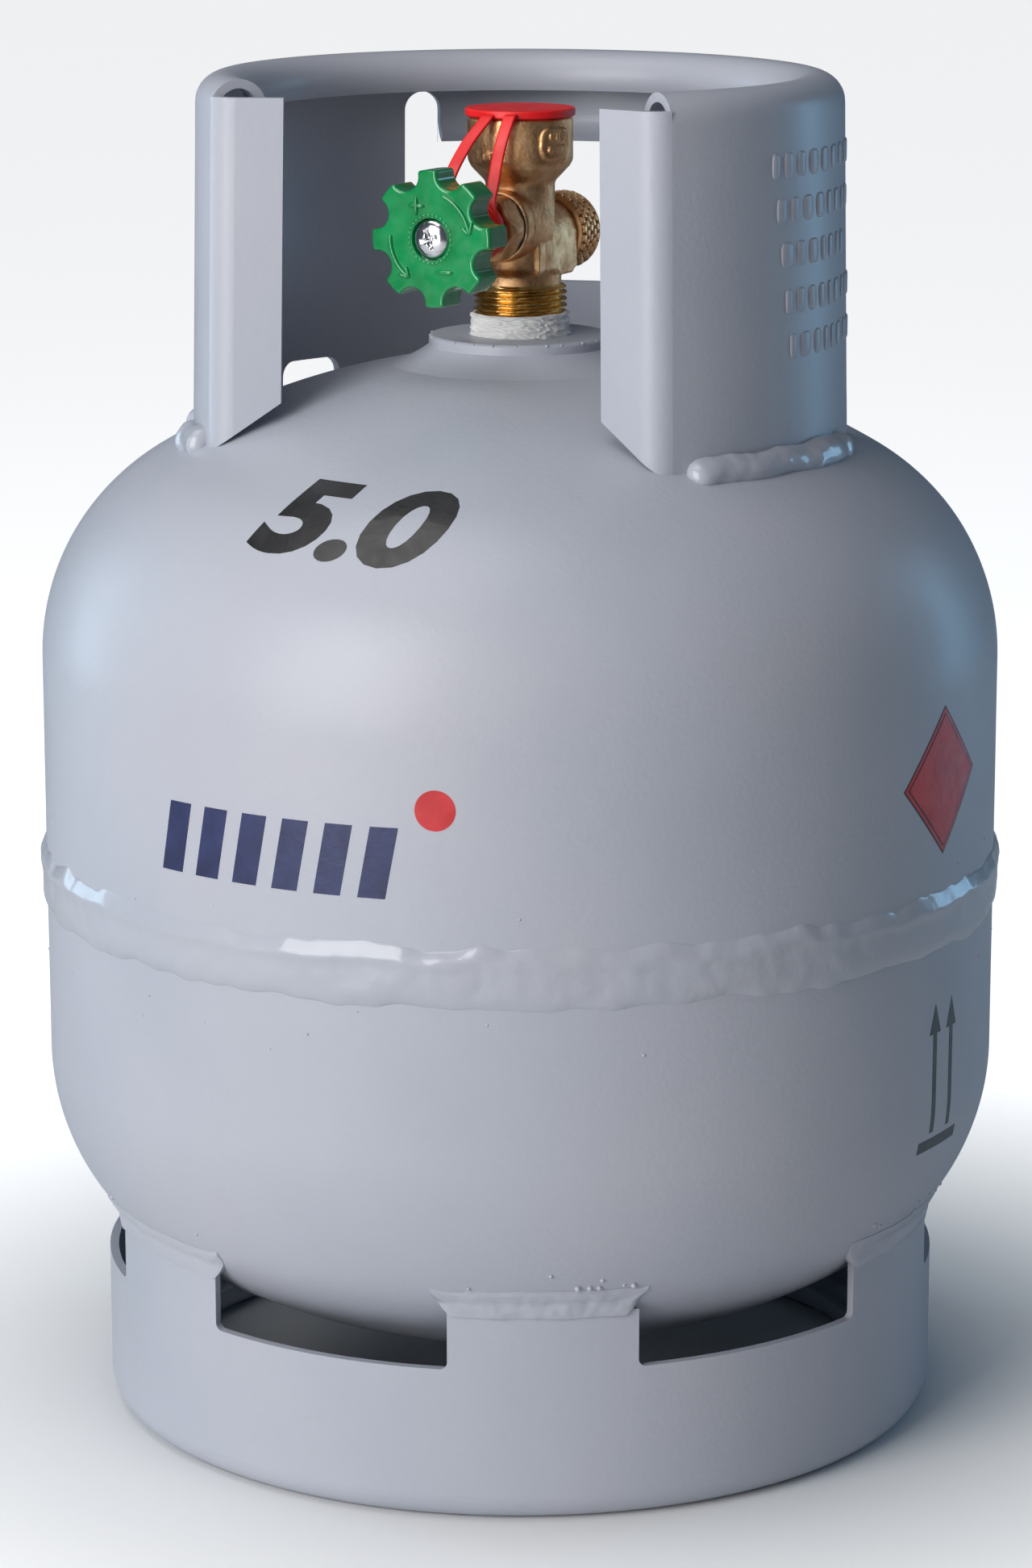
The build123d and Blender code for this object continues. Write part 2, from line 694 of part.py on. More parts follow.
# ---------------------------------------------------------------- handwheel
wheel_back = wheel_face - wheel_thickness
hub_radius = 6.5
lobe_count = 8
lobe_turn = 26.0
scallop_radius = 4.1
scallop_centre = 18.4
recess_radius = 5.8
with BuildPart() as handwheel:
    with BuildSketch(cross_plane(wheel_way, stem_z, wheel_back)):
        Circle(wheel_radius)
        with PolarLocations(scallop_centre, lobe_count, start_angle=lobe_turn):
            Circle(scallop_radius, mode=Mode.SUBTRACT)
        lobe_corners = vertices()
        fillet(lobe_corners, 0.9)
    extrude(amount=wheel_thickness)
    rims = handwheel.faces().sort_by(wheel_axis)
    fillet([rims[0].outer_wire().edges(), rims[-1].outer_wire().edges()], 0.8)
    with BuildSketch(cross_plane(wheel_way, stem_z, square_start + 0.2)):
        Circle(hub_radius)
    extrude(amount=wheel_back - square_start)
    with BuildSketch(cross_plane(wheel_way, stem_z, wheel_recess)):
        Circle(recess_radius)
    extrude(amount=wheel_thickness, mode=Mode.SUBTRACT)
    with BuildSketch(cross_plane(wheel_way, stem_z, square_start)):
        Rectangle(square_width + 0.1, square_width + 0.1)
    extrude(amount=wheel_thickness * 2, mode=Mode.SUBTRACT)
save(handwheel.part, "handwheel")

washer_thickness = 0.6
with BuildPart() as screw_washer:
    with BuildSketch(cross_plane(wheel_way, stem_z, wheel_recess)):
        Circle(recess_radius - 0.3)
        Circle(wheel_screw_radius + 0.1, mode=Mode.SUBTRACT)
    extrude(amount=washer_thickness)
save(screw_washer.part, "screw_washer")

head_start = wheel_recess + washer_thickness
screw_head_radius = 5.0
screw_tip = 36.0
with BuildPart() as handwheel_screw:
    with BuildSketch(wheel_section):
        with BuildLine():
            Polyline(
                (head_start + 1.0, screw_head_radius),
                (head_start, screw_head_radius),
                (head_start, wheel_screw_radius),
                (screw_tip, wheel_screw_radius),
                (screw_tip, 0),
                (head_start + 2.8, 0),
            )
            ThreePointArc(
                (head_start + 2.8, 0),
                (head_start + 2.3, screw_head_radius / 2),
                (head_start + 1.0, screw_head_radius),
            )
        make_face()
    revolve(axis=wheel_axis)
    with BuildSketch(cross_plane(wheel_way, stem_z, head_start + 0.8)):
        Rectangle(5.0, 1.0)
        Rectangle(1.0, 5.0)
        Circle(1.1)
    extrude(amount=3.0, mode=Mode.SUBTRACT)
save(handwheel_screw.part, "handwheel_screw")

# ---------------------------------------------------------------- relief valve
hood_radius = 10.8
hood_start = 16.2
hood_end = 27.2
hood_hole_radius = 1.8
spring_end = 24.4
poppet_flange = relief_seat + 2.6
poppet_back = poppet_flange + 1.4
poppet_end = 25.0
seal_radius = 3.6
seal_depth = 1.6
with BuildPart() as relief_cap:
    with BuildSketch(relief_section):
        with BuildLine():
            Polyline(
                (hood_start, relief_boss_radius),
                (hood_start, hood_radius - 0.6),
                (hood_start + 0.6, hood_radius),
                (hood_end - 1.0, hood_radius),
                (hood_end, hood_radius - 1.0),
                (hood_end, hood_hole_radius),
                (spring_end, hood_hole_radius),
                (spring_end, relief_chamber_radius),
                (relief_boss_end, relief_chamber_radius),
                (relief_boss_end, relief_boss_radius),
                close=True,
            )
        make_face()
    revolve(axis=relief_axis)
save(relief_cap.part, "relief_cap")

with BuildPart() as relief_poppet:
    with BuildSketch(relief_section):
        with BuildLine():
            Polyline(
                (relief_seat + 0.6, 0),
                (relief_seat + 0.6, relief_chamber_radius - 0.1),
                (poppet_flange, relief_chamber_radius - 0.1),
                (poppet_flange, 3.4),
                (poppet_back, 3.4),
                (poppet_back, hood_hole_radius - 0.3),
                (poppet_end, hood_hole_radius - 0.3),
                (poppet_end, 0),
                close=True,
            )
        make_face()
    revolve(axis=relief_axis)
    with BuildSketch(cross_plane(relief_way, relief_z, relief_seat)):
        Circle(seal_radius)
    extrude(amount=seal_depth, mode=Mode.SUBTRACT)
save(relief_poppet.part, "relief_poppet")

with BuildPart() as relief_seal:
    with BuildSketch(cross_plane(relief_way, relief_z, relief_seat + running_gap)):
        Circle(seal_radius)
    extrude(amount=seal_depth - running_gap)
save(relief_seal.part, "relief_seal")

spring_wire = 0.5
spring_radius = 4.6
spring_turns = 4
spring_low = poppet_flange + spring_wire + 0.05
spring_length = spring_end - spring_low - spring_wire - 0.05
with BuildPart() as relief_spring:
    with BuildLine():
        coil = Helix(
            pitch=spring_length / spring_turns,
            height=spring_length,
            radius=spring_radius,
            center=relief_way * spring_low + Vector(0, 0, relief_z),
            direction=relief_way,
        )
    with BuildSketch(Plane(origin=coil @ 0, z_dir=coil % 0)):
        Circle(spring_wire)
    sweep()
save(relief_spring.part, "relief_spring")

# ---------------------------------------------------------------- outlet cap and tether
cap_low_z = cup_top_z + 0.05
cap_high_z = cap_low_z + 2.2
with BuildPart() as outlet_cap:
    with BuildSketch(Plane.XY.offset(cap_low_z)):
        Circle(cap_radius)
    extrude(amount=cap_high_z - cap_low_z)
    fillet(outlet_cap.edges().filter_by(GeomType.CIRCLE), 0.5)
    with BuildSketch(Plane.XY.offset(cap_low_z)):
        Circle(outlet_mouth_radius - 0.5)
        Circle(outlet_mouth_radius - 2.0, mode=Mode.SUBTRACT)
    extrude(amount=-2.8)
save(outlet_cap.part, "outlet_cap")

strap_radius = 0.9
tether_start = 22.3
tether_end = 25.3
strap_top = cap_way * (cap_radius + 2.1) + Vector(0, 0, cap_low_z + 0.6)
strap_side = Vector(0, 0, 1).cross(cap_way)
ring_middle = wheel_way * ((tether_start + tether_end) / 2) + Vector(0, 0, stem_z)
ring_side = Vector(0, 0, 1).cross(wheel_way)
ring_radius = bonnet_neck_radius + 0.9
right_route = [
    strap_top + strap_side * 4.0,
    Vector(-6.2, -19.5, 357.0),
    Vector(-7.6, -22.8, 346.0),
    ring_middle + ring_side * ring_radius,
]
left_route = [
    strap_top + strap_side * -4.0,
    Vector(-15.6, -19.8, 360.0),
    Vector(-20.8, -23.0, 351.0),
    ring_middle - ring_side * ring_radius,
]
with BuildPart() as cap_tether:
    with BuildSketch(cross_plane(wheel_way, stem_z, tether_start)):
        Circle(bonnet_neck_radius + 1.8)
    extrude(amount=tether_end - tether_start)
    for route in (right_route, left_route):
        with BuildLine():
            run = FilletPolyline(*route, radius=4.0)
        with BuildSketch(Plane(origin=run @ 0, z_dir=run % 0)):
            Circle(strap_radius)
        sweep()
    with BuildSketch(cross_plane(wheel_way, stem_z, bonnet_hex_end)):
        Circle(bonnet_neck_radius)
    extrude(amount=bonnet_end - bonnet_hex_end, mode=Mode.SUBTRACT)
save(cap_tether.part, "cap_tether")
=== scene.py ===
import json
import math
import random

import bmesh
import bpy
import numpy as np
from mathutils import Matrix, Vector, noise


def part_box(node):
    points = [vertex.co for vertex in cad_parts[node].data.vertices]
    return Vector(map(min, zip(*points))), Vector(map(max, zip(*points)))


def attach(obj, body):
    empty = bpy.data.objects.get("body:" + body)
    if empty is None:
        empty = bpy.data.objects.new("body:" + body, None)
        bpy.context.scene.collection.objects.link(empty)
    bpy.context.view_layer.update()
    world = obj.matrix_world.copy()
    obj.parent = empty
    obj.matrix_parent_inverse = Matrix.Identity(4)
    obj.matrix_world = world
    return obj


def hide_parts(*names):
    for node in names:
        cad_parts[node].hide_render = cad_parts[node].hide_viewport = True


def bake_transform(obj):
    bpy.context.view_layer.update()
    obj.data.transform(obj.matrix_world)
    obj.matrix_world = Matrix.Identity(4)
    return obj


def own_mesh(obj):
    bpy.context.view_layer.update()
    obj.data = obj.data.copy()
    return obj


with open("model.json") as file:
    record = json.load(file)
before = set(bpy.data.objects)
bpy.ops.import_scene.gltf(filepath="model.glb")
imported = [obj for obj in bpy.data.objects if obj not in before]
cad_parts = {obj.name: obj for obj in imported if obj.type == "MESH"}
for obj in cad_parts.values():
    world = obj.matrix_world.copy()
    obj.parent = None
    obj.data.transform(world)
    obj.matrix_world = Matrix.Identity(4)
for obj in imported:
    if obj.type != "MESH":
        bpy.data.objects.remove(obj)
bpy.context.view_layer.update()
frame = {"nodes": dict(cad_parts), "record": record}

scene = bpy.context.scene
MM = 0.001
random.seed(7)


# ---------------------------------------------------------------- sizes, in millimetres
def node_box(node):
    """Lowest and highest corner of a CAD node, in millimetres."""
    low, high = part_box(node)
    return Vector(low) / MM, Vector(high) / MM


BODY_RADIUS = 134.2
WALL = 2.0
KNUCKLE = 65.0
CROWN = 202.0
LOWER_HEAD_Z = 104.5
UPPER_HEAD_Z = 216.1
SEAM_Z = (node_box("girth_weld")[0].z + node_box("girth_weld")[1].z) / 2
BOSS_RADIUS = node_box("neck_ring")[1].x
BOSS_TOP_Z = node_box("neck_ring")[1].z
TAPE_TOP_Z = node_box("ptfe_tape")[1].z
CUP_RADIUS = 14.6
CUP_TOP_Z = node_box("valve_body")[1].z
THREAD_RADIUS = 12.6
THREAD_ROOT = 11.75
OUTLET_RADIUS = 11.24
HEX_RADIUS = 8.7
THREAD_PITCH = 25.4 / 14
GUARD_BASE_RADIUS = 91.2
GUARD_RIM_RADIUS = 89.25
OPENING_TURN = 21.4
FOOT_RADIUS = node_box("foot_ring")[1].x
TAB_TOP_Z = node_box("foot_ring")[1].z
FIRST_TAB = 3 - 90
STEM_Z = 335.7
RELIEF_Z = 331.5
WHEEL_TURN = 30.0
WHEEL_FACE = 48.4
CAP_TURN = 22.0

HEAD_JOIN = math.asin((BODY_RADIUS - KNUCKLE) / (CROWN - KNUCKLE))
HEAD_HEIGHT = CROWN - (CROWN - KNUCKLE) * math.cos(HEAD_JOIN)
UPPER_CROWN_Z = UPPER_HEAD_Z + HEAD_HEIGHT - CROWN
LOWER_CROWN_Z = LOWER_HEAD_Z - HEAD_HEIGHT + CROWN
KNUCKLE_CENTRE = BODY_RADIUS - KNUCKLE


def heading(angle):
    """Level direction that points to the front, turned by this angle towards -X."""
    a = math.radians(angle)
    return Vector((-math.sin(a), -math.cos(a), 0))


UP = Vector((0, 0, 1))
WHEEL_WAY = heading(WHEEL_TURN)
WHEEL_SIDE = UP.cross(WHEEL_WAY)
RELIEF_WAY = -WHEEL_WAY
CAP_WAY = heading(CAP_TURN)
CAP_SIDE = UP.cross(CAP_WAY)


def upper_height(radius):
    """Height of the upper head's outside at this radius."""
    if radius < CROWN * math.sin(HEAD_JOIN):
        return UPPER_CROWN_Z + math.sqrt(CROWN**2 - radius**2)
    return UPPER_HEAD_Z + math.sqrt(max(0, KNUCKLE**2 - (radius - KNUCKLE_CENTRE) ** 2))


def vessel_radius(height):
    """Outside radius of the vessel at this height."""
    if LOWER_HEAD_Z <= height <= UPPER_HEAD_Z:
        return BODY_RADIUS
    rise = height - UPPER_HEAD_Z
    if height < LOWER_HEAD_Z:
        rise = LOWER_HEAD_Z - height
    knuckle_rise = KNUCKLE * math.cos(HEAD_JOIN)
    if rise < knuckle_rise:
        return KNUCKLE_CENTRE + math.sqrt(KNUCKLE**2 - rise**2)
    depth = CROWN - HEAD_HEIGHT + rise
    return math.sqrt(max(0, CROWN**2 - depth**2))


# ---------------------------------------------------------------- mesh helpers
def polar(angle, radius, height):
    """A point from its polar angle in degrees, its distance from the vessel's axis and its height."""
    a = math.radians(angle)
    return Vector((math.cos(a) * radius, math.sin(a) * radius, height))


def smooth_noise(x, y, z, scale, seed=0.0):
    """Noise from about -1 to 1 at a point in millimetres, with features of this size."""
    return noise.noise(Vector((x / scale + seed, y / scale - seed, z / scale + 2 * seed)))


def circle(count, shift=0.0):
    """(cosine, sine) of this many even steps round a circle."""
    angles = [2 * math.pi * (k + shift) / count for k in range(count)]
    return [(math.cos(a), math.sin(a)) for a in angles]


def link(name, data):
    """A new object of the scene."""
    obj = bpy.data.objects.new(name, data)
    scene.collection.objects.link(obj)
    return obj


def shade_smooth(mesh):
    mesh.polygons.foreach_set("use_smooth", [True] * len(mesh.polygons))


def add_mesh(name, vertices, faces, sharp=None):
    """A new mesh object from points in millimetres, smooth except where it turns sharply."""
    mesh = bpy.data.meshes.new(name)
    mesh.from_pydata([tuple(c * MM for c in v) for v in vertices], [], faces)
    mesh.validate()
    mesh.update()
    tidy = bmesh.new()
    tidy.from_mesh(mesh)
    bmesh.ops.recalc_face_normals(tidy, faces=tidy.faces)
    tidy.to_mesh(mesh)
    tidy.free()
    shade_smooth(mesh)
    if sharp is not None:
        mesh.set_sharp_from_angle(angle=math.radians(sharp))
    return link(name, mesh)


def grid_faces(rows, columns, wrap_rows, wrap_columns):
    """Quads of a grid of points, row by row."""
    faces = []
    for i in range(rows if wrap_rows else rows - 1):
        for j in range(columns if wrap_columns else columns - 1):
            a = i * columns + j
            b = i * columns + (j + 1) % columns
            c = ((i + 1) % rows) * columns + (j + 1) % columns
            d = ((i + 1) % rows) * columns + j
            faces.append((a, b, c, d))
    return faces


def add_tube(name, rings, closed=False, sharp=None):
    """A solid skin over rings of points: closed on itself, or capped at its first and last ring."""
    rows, columns = len(rings), len(rings[0])
    faces = grid_faces(rows, columns, closed, True)
    if not closed:
        faces.append(tuple(reversed(range(columns))))
        faces.append(tuple(range((rows - 1) * columns, rows * columns)))
    return add_mesh(name, [p for ring in rings for p in ring], faces, sharp)


def spun_point(frame_of, distance, radius, angle, push):
    """A point of a turned profile; push moves it outwards."""
    origin, across, upward, way = frame_of
    spoke = across * math.cos(angle) + upward * math.sin(angle)
    extra = push(distance, radius, angle) if push else 0
    return origin + way * distance + spoke * (radius + extra)


def lathe(name, profile, frame_of, segments=256, push=None, sharp=35):
    """A closed profile of (distance, radius) turned about an axis."""
    angles = [2 * math.pi * k / segments for k in range(segments)]
    rings = [[spun_point(frame_of, *corner, angle, push) for corner in profile] for angle in angles]
    return add_tube(name, rings, closed=True, sharp=sharp)


def turned(name, profile, frame_of, segments=96, push=None, sharp=35):
    """An open profile of (distance, radius) turned about an axis, with a disc at each end."""
    angles = [2 * math.pi * k / segments for k in range(segments)]
    rings = [[spun_point(frame_of, *corner, angle, push) for angle in angles] for corner in profile]
    return add_tube(name, rings, sharp=sharp)


UPRIGHT = (Vector((0, 0, 0)), Vector((1, 0, 0)), Vector((0, 1, 0)), UP)
ALONG_WHEEL = (UP * STEM_Z, WHEEL_SIDE, UP, WHEEL_WAY)
ALONG_RELIEF = (UP * RELIEF_Z, -WHEEL_SIDE, UP, RELIEF_WAY)


def arc_points(centre, radius, start, turn, steps):
    """Points along an arc in a (distance, radius) plane; angles in degrees."""
    points = []
    for k in range(steps + 1):
        a = math.radians(start + turn * k / steps)
        points.append((centre[0] + radius * math.cos(a), centre[1] + radius * math.sin(a)))
    return points


def line_points(start, end, steps):
    return [
        (start[0] + (end[0] - start[0]) * k / steps, start[1] + (end[1] - start[1]) * k / steps)
        for k in range(steps + 1)
    ]


def rounded_profile(corners, steps=5):
    """A closed outline of (distance, radius, fillet) corners with each corner rounded."""
    points = []
    count = len(corners)
    for k in range(count):
        here = Vector(corners[k][:2])
        before = Vector(corners[k - 1][:2])
        after = Vector(corners[(k + 1) % count][:2])
        fillet = corners[k][2]
        if fillet <= 0:
            points.append(tuple(here))
            continue
        first = here + (before - here).normalized() * fillet
        last = here + (after - here).normalized() * fillet
        for s in range(steps + 1):
            t = s / steps
            bend = first.lerp(here, t).lerp(here.lerp(last, t), t)
            points.append(tuple(bend))
    return points


def finish_piece(obj, material, body="cylinder", replaces=()):
    obj.data.materials.clear()
    obj.data.materials.append(material)
    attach(obj, body)
    if replaces:
        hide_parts(*replaces)
    return obj


# ---------------------------------------------------------------- materials
def new_material(name):
    """A node material, its node tree, its shader and an object-space coordinate socket."""
    material = bpy.data.materials.new(name)
    material.use_nodes = True
    tree = material.node_tree
    shader = tree.nodes["Principled BSDF"]
    place = tree.nodes.new("ShaderNodeTexCoord").outputs["Object"]
    return material, tree, shader, place


def noise_socket(tree, place, scale, detail=2.0, roughness=0.5):
    node = tree.nodes.new("ShaderNodeTexNoise")
    node.inputs["Scale"].default_value = scale
    node.inputs["Detail"].default_value = detail
    node.inputs["Roughness"].default_value = roughness
    tree.links.new(place, node.inputs["Vector"])
    return node.outputs["Fac"]


def ramp(tree, value, stops):
    """A colour ramp over a value; stops are (position, colour)."""
    node = tree.nodes.new("ShaderNodeValToRGB")
    tree.links.new(value, node.inputs["Fac"])
    elements = node.color_ramp.elements
    while len(elements) < len(stops):
        elements.new(0.5)
    for element, (position, colour) in zip(elements, stops):
        element.position = position
        element.color = (*colour, 1)
    return node.outputs["Color"]


def map_range(tree, value, low, high, source=(0.3, 0.7)):
    node = tree.nodes.new("ShaderNodeMapRange")
    tree.links.new(value, node.inputs["Value"])
    node.inputs["From Min"].default_value = source[0]
    node.inputs["From Max"].default_value = source[1]
    node.inputs["To Min"].default_value = low
    node.inputs["To Max"].default_value = high
    return node.outputs["Result"]


def mix_colour(tree, factor, first, second):
    node = tree.nodes.new("ShaderNodeMix")
    node.data_type = "RGBA"
    for socket_name, value in (("Factor", factor), ("A", first), ("B", second)):
        socket = node.inputs[socket_name]
        if isinstance(value, bpy.types.NodeSocket):
            tree.links.new(value, socket)
        elif isinstance(value, tuple):
            socket.default_value = (*value, 1)
        else:
            socket.default_value = value
    return node.outputs["Result"]


def bump(tree, shader, layers):
    """Chains bump nodes into the shader's normal; layers are (height socket, strength, depth in m)."""
    last = None
    for height, strength, depth in layers:
        node = tree.nodes.new("ShaderNodeBump")
        node.inputs["Strength"].default_value = strength
        node.inputs["Distance"].default_value = depth
        tree.links.new(height, node.inputs["Height"])
        if last is not None:
            tree.links.new(last, node.inputs["Normal"])
        last = node.outputs["Normal"]
    tree.links.new(last, shader.inputs["Normal"])


def set_uniform(shader, **values):
    """Values that are the same all over, set on the shader's own sockets."""
    for name, value in values.items():
        shader.inputs[name.replace("_", " ")].default_value = value


def paint_material(name, rough_low, rough_high, coat, coat_rough):
    """Pale blue-grey powder coat: orange peel, slow tint changes, scuffs and a little dirt."""
    material, tree, shader, place = new_material(name)
    slow = noise_socket(tree, place, 9, 3)
    tones = [(0.3, (0.395, 0.425, 0.490)), (0.5, (0.430, 0.452, 0.515)), (0.7, (0.455, 0.462, 0.520))]
    tint = ramp(tree, slow, tones)
    fine = noise_socket(tree, place, 420, 2)
    speck = map_range(tree, fine, 0.0, 0.10, (0.62, 0.75))
    tint = mix_colour(tree, speck, tint, (0.36, 0.36, 0.40))
    scuffs = noise_socket(tree, place, 55, 6, 0.7)
    scuff_mask = map_range(tree, scuffs, 0.0, 0.35, (0.66, 0.80))
    tint = mix_colour(tree, scuff_mask, tint, (0.33, 0.33, 0.36))
    tree.links.new(tint, shader.inputs["Base Color"])
    rough = map_range(tree, noise_socket(tree, place, 30, 4), rough_low, rough_high)
    tree.links.new(rough, shader.inputs["Roughness"])
    peel = noise_socket(tree, place, 620, 2, 0.45)
    waves = noise_socket(tree, place, 60, 2)
    bump(tree, shader, [(waves, 0.25, 0.0006), (peel, 0.30, 0.00022)])
    set_uniform(shader, Coat_Weight=coat, Coat_Roughness=coat_rough, Coat_IOR=1.5, Specular_IOR_Level=0.35)
    return material


def metal_material(name, dark, mid, light, rough, grain_scale, grain_depth):
    """Bare metal whose colour drifts between three tones, with a grain in its surface."""
    material, tree, shader, place = new_material(name)
    patches = noise_socket(tree, place, 160, 5, 0.62)
    colour = ramp(tree, patches, [(0.34, dark), (0.5, mid), (0.66, light)])
    tree.links.new(colour, shader.inputs["Base Color"])
    roughness = map_range(tree, noise_socket(tree, place, 400, 3), rough[0], rough[1])
    tree.links.new(roughness, shader.inputs["Roughness"])
    grain = noise_socket(tree, place, grain_scale, 3, 0.6)
    bump(tree, shader, [(grain, 0.5, grain_depth)])
    set_uniform(shader, Metallic=1.0)
    return material


def plastic_material(name, low, high, rough, coat=0.0, grain=(500, 0.0001)):
    """A coloured coating or plastic with a slight tint drift and a soft surface."""
    material, tree, shader, place = new_material(name)
    drift = noise_socket(tree, place, 120, 3)
    tree.links.new(ramp(tree, drift, [(0.35, low), (0.65, high)]), shader.inputs["Base Color"])
    roughness = map_range(tree, noise_socket(tree, place, 260, 3), rough[0], rough[1])
    tree.links.new(roughness, shader.inputs["Roughness"])
    bump(tree, shader, [(noise_socket(tree, place, grain[0], 2), 0.35, grain[1])])
    set_uniform(shader, Coat_Weight=coat, Coat_Roughness=0.06)
    return material


PAINT = paint_material("vessel_paint", 0.38, 0.50, 0.22, 0.30)
THICK_PAINT = paint_material("weld_paint", 0.26, 0.38, 0.6, 0.10)
CAST_BRASS = metal_material(
    "cast_brass", (0.50, 0.255, 0.11), (0.76, 0.43, 0.205), (0.90, 0.58, 0.30), (0.34, 0.50), 1500, 0.00022
)
TURNED_BRASS = metal_material(
    "machined_brass", (0.55, 0.34, 0.10), (0.72, 0.47, 0.16), (0.80, 0.56, 0.22), (0.14, 0.28), 2600, 0.00003
)
STEEL = metal_material(
    "screw_steel", (0.62, 0.62, 0.64), (0.74, 0.74, 0.76), (0.82, 0.82, 0.84), (0.08, 0.2), 1800, 0.00002
)
TAPE = plastic_material(
    "white_tape", (0.78, 0.78, 0.77), (0.90, 0.90, 0.90), (0.35, 0.55), 0.1, (900, 0.00015)
)
GREEN = plastic_material(
    "green_enamel", (0.0, 0.20, 0.05), (0.001, 0.27, 0.075), (0.12, 0.22), 0.6, (300, 0.00012)
)
RED = plastic_material("red_plastic", (0.72, 0.006, 0.008), (0.86, 0.012, 0.014), (0.38, 0.5), 0.0)
RUBBER = plastic_material("seal_rubber", (0.012, 0.012, 0.012), (0.03, 0.03, 0.03), (0.5, 0.7))
INK = ((0.35, 0.5), 0.2, (620, 0.0002))
BLACK_INK = plastic_material("black_ink", (0.008, 0.008, 0.009), (0.02, 0.02, 0.022), *INK)
NAVY_INK = plastic_material("navy_ink", (0.008, 0.014, 0.07), (0.016, 0.026, 0.11), *INK)
RED_INK = plastic_material("red_ink", (0.50, 0.015, 0.02), (0.60, 0.03, 0.035), *INK)
DARK_INK = plastic_material(
    "dark_grey_ink", (0.03, 0.045, 0.055), (0.05, 0.07, 0.08), (0.4, 0.5), 0.1, (620, 0.0002)
)
SLOT_MATERIALS = {
    "vessel_paint": PAINT,
    "cast_brass": CAST_BRASS,
    "machined_brass": TURNED_BRASS,
    "white_tape": TAPE,
    "seal_rubber": RUBBER,
    "green_enamel": GREEN,
    "screw_steel": STEEL,
    "spring_steel": STEEL,
    "red_plastic": RED,
}


def paint_cad_nodes():
    """Each CAD node takes the material of its slot."""
    slots = {entry["node"]: entry["material_slot"] for entry in frame["record"]["subparts"]}
    for name, obj in frame["nodes"].items():
        obj.data.materials.clear()
        obj.data.materials.append(SLOT_MATERIALS[slots[name]])


paint_cad_nodes()


# ---------------------------------------------------------------- camera, light and floor
def add_camera():
    """Looks at the tank from the front, 12.86 degrees above the level, at 1.365 m."""
    data = bpy.data.cameras.new("camera")
    data.sensor_width = 36
    data.lens = 110.37
    data.clip_end = 50
    camera = link("camera", data)
    pitch = math.radians(12.86)
    distance = 1.365
    aim = Vector((-0.00115, 0, 0.1764))
    camera.location = aim + Vector((0, -math.cos(pitch), math.sin(pitch))) * distance
    camera.rotation_euler = (math.pi / 2 - pitch, 0, 0)
    scene.camera = camera


def add_area(name, place, target, size, power, colour):
    data = bpy.data.lights.new(name, "AREA")
    data.shape = "RECTANGLE"
    data.size, data.size_y = size
    data.energy = power
    data.color = colour
    light = link(name, data)
    light.location = place
    light.rotation_euler = (Vector(target) - Vector(place)).to_track_quat("-Z", "Y").to_euler()


def add_stage():
    """Pale floor, a broad soft key from the front left, and weak blue light from behind each side."""
    world = bpy.data.worlds.new("studio")
    world.use_nodes = True
    background = world.node_tree.nodes["Background"]
    background.inputs["Color"].default_value = (0.72, 0.84, 1.0, 1)
    background.inputs["Strength"].default_value = 0.10
    scene.world = world
    half = 20
    mesh = bpy.data.meshes.new("floor")
    corners = [(-half, -half, 0), (half, -half, 0), (half, half, 0), (-half, half, 0)]
    mesh.from_pydata(corners, [], [(0, 1, 2, 3)])
    floor = link("floor", mesh)
    material, tree, shader, place = new_material("floor")
    tones = [(0.3, (0.78, 0.79, 0.80)), (0.7, (0.82, 0.825, 0.83))]
    shade = ramp(tree, noise_socket(tree, place, 3, 2), tones)
    tree.links.new(shade, shader.inputs["Base Color"])
    # Seen directly, the floor glows a little, so that it stays pale far from the lights.
    seen = tree.nodes.new("ShaderNodeLightPath").outputs["Is Camera Ray"]
    away = tree.nodes.new("ShaderNodeVectorMath")
    away.operation = "LENGTH"
    tree.links.new(place, away.inputs[0])
    far = map_range(tree, away.outputs["Value"], 0.0, 0.8, (0.115, 0.34))
    glow = tree.nodes.new("ShaderNodeMath")
    glow.operation = "MULTIPLY"
    tree.links.new(seen, glow.inputs[0])
    tree.links.new(far, glow.inputs[1])
    tree.links.new(glow.outputs["Value"], shader.inputs["Emission Strength"])
    set_uniform(shader, Roughness=0.8, Emission_Color=(1, 1, 1, 1))
    mesh.materials.append(material)
    add_area("key", (-1.15, -1.35, 0.75), (0, 0, 0.18), (1.1, 1.5), 30, (1.0, 0.985, 0.97))
    add_area("top", (-0.35, -0.25, 1.35), (0, 0, 0.25), (0.9, 0.7), 5, (1.0, 0.98, 0.97))
    add_area("rim_right", (1.3, 0.75, 0.35), (0, 0, 0.18), (0.4, 0.9), 4, (0.35, 0.68, 1.0))
    add_area("rim_left", (-1.3, 0.75, 0.35), (0, 0, 0.18), (0.4, 0.9), 4, (0.55, 0.8, 1.0))
    scene.view_settings.view_transform = "Standard"


add_camera()
add_stage()


# ---------------------------------------------------------------- vessel
def head_profile(inset, steps=46):
    """(height, radius) down the upper head from the boss to the straight side."""
    points = []
    start = math.asin(BOSS_RADIUS / CROWN)
    for k in range(steps + 1):
        a = start + (HEAD_JOIN - start) * k / steps
        points.append((UPPER_CROWN_Z + (CROWN - inset) * math.cos(a), (CROWN - inset) * math.sin(a)))
    for k in range(1, steps + 1):
        a = HEAD_JOIN + (math.pi / 2 - HEAD_JOIN) * k / steps
        points.append(
            (UPPER_HEAD_Z + (KNUCKLE - inset) * math.cos(a), KNUCKLE_CENTRE + (KNUCKLE - inset) * math.sin(a))
        )
    return points


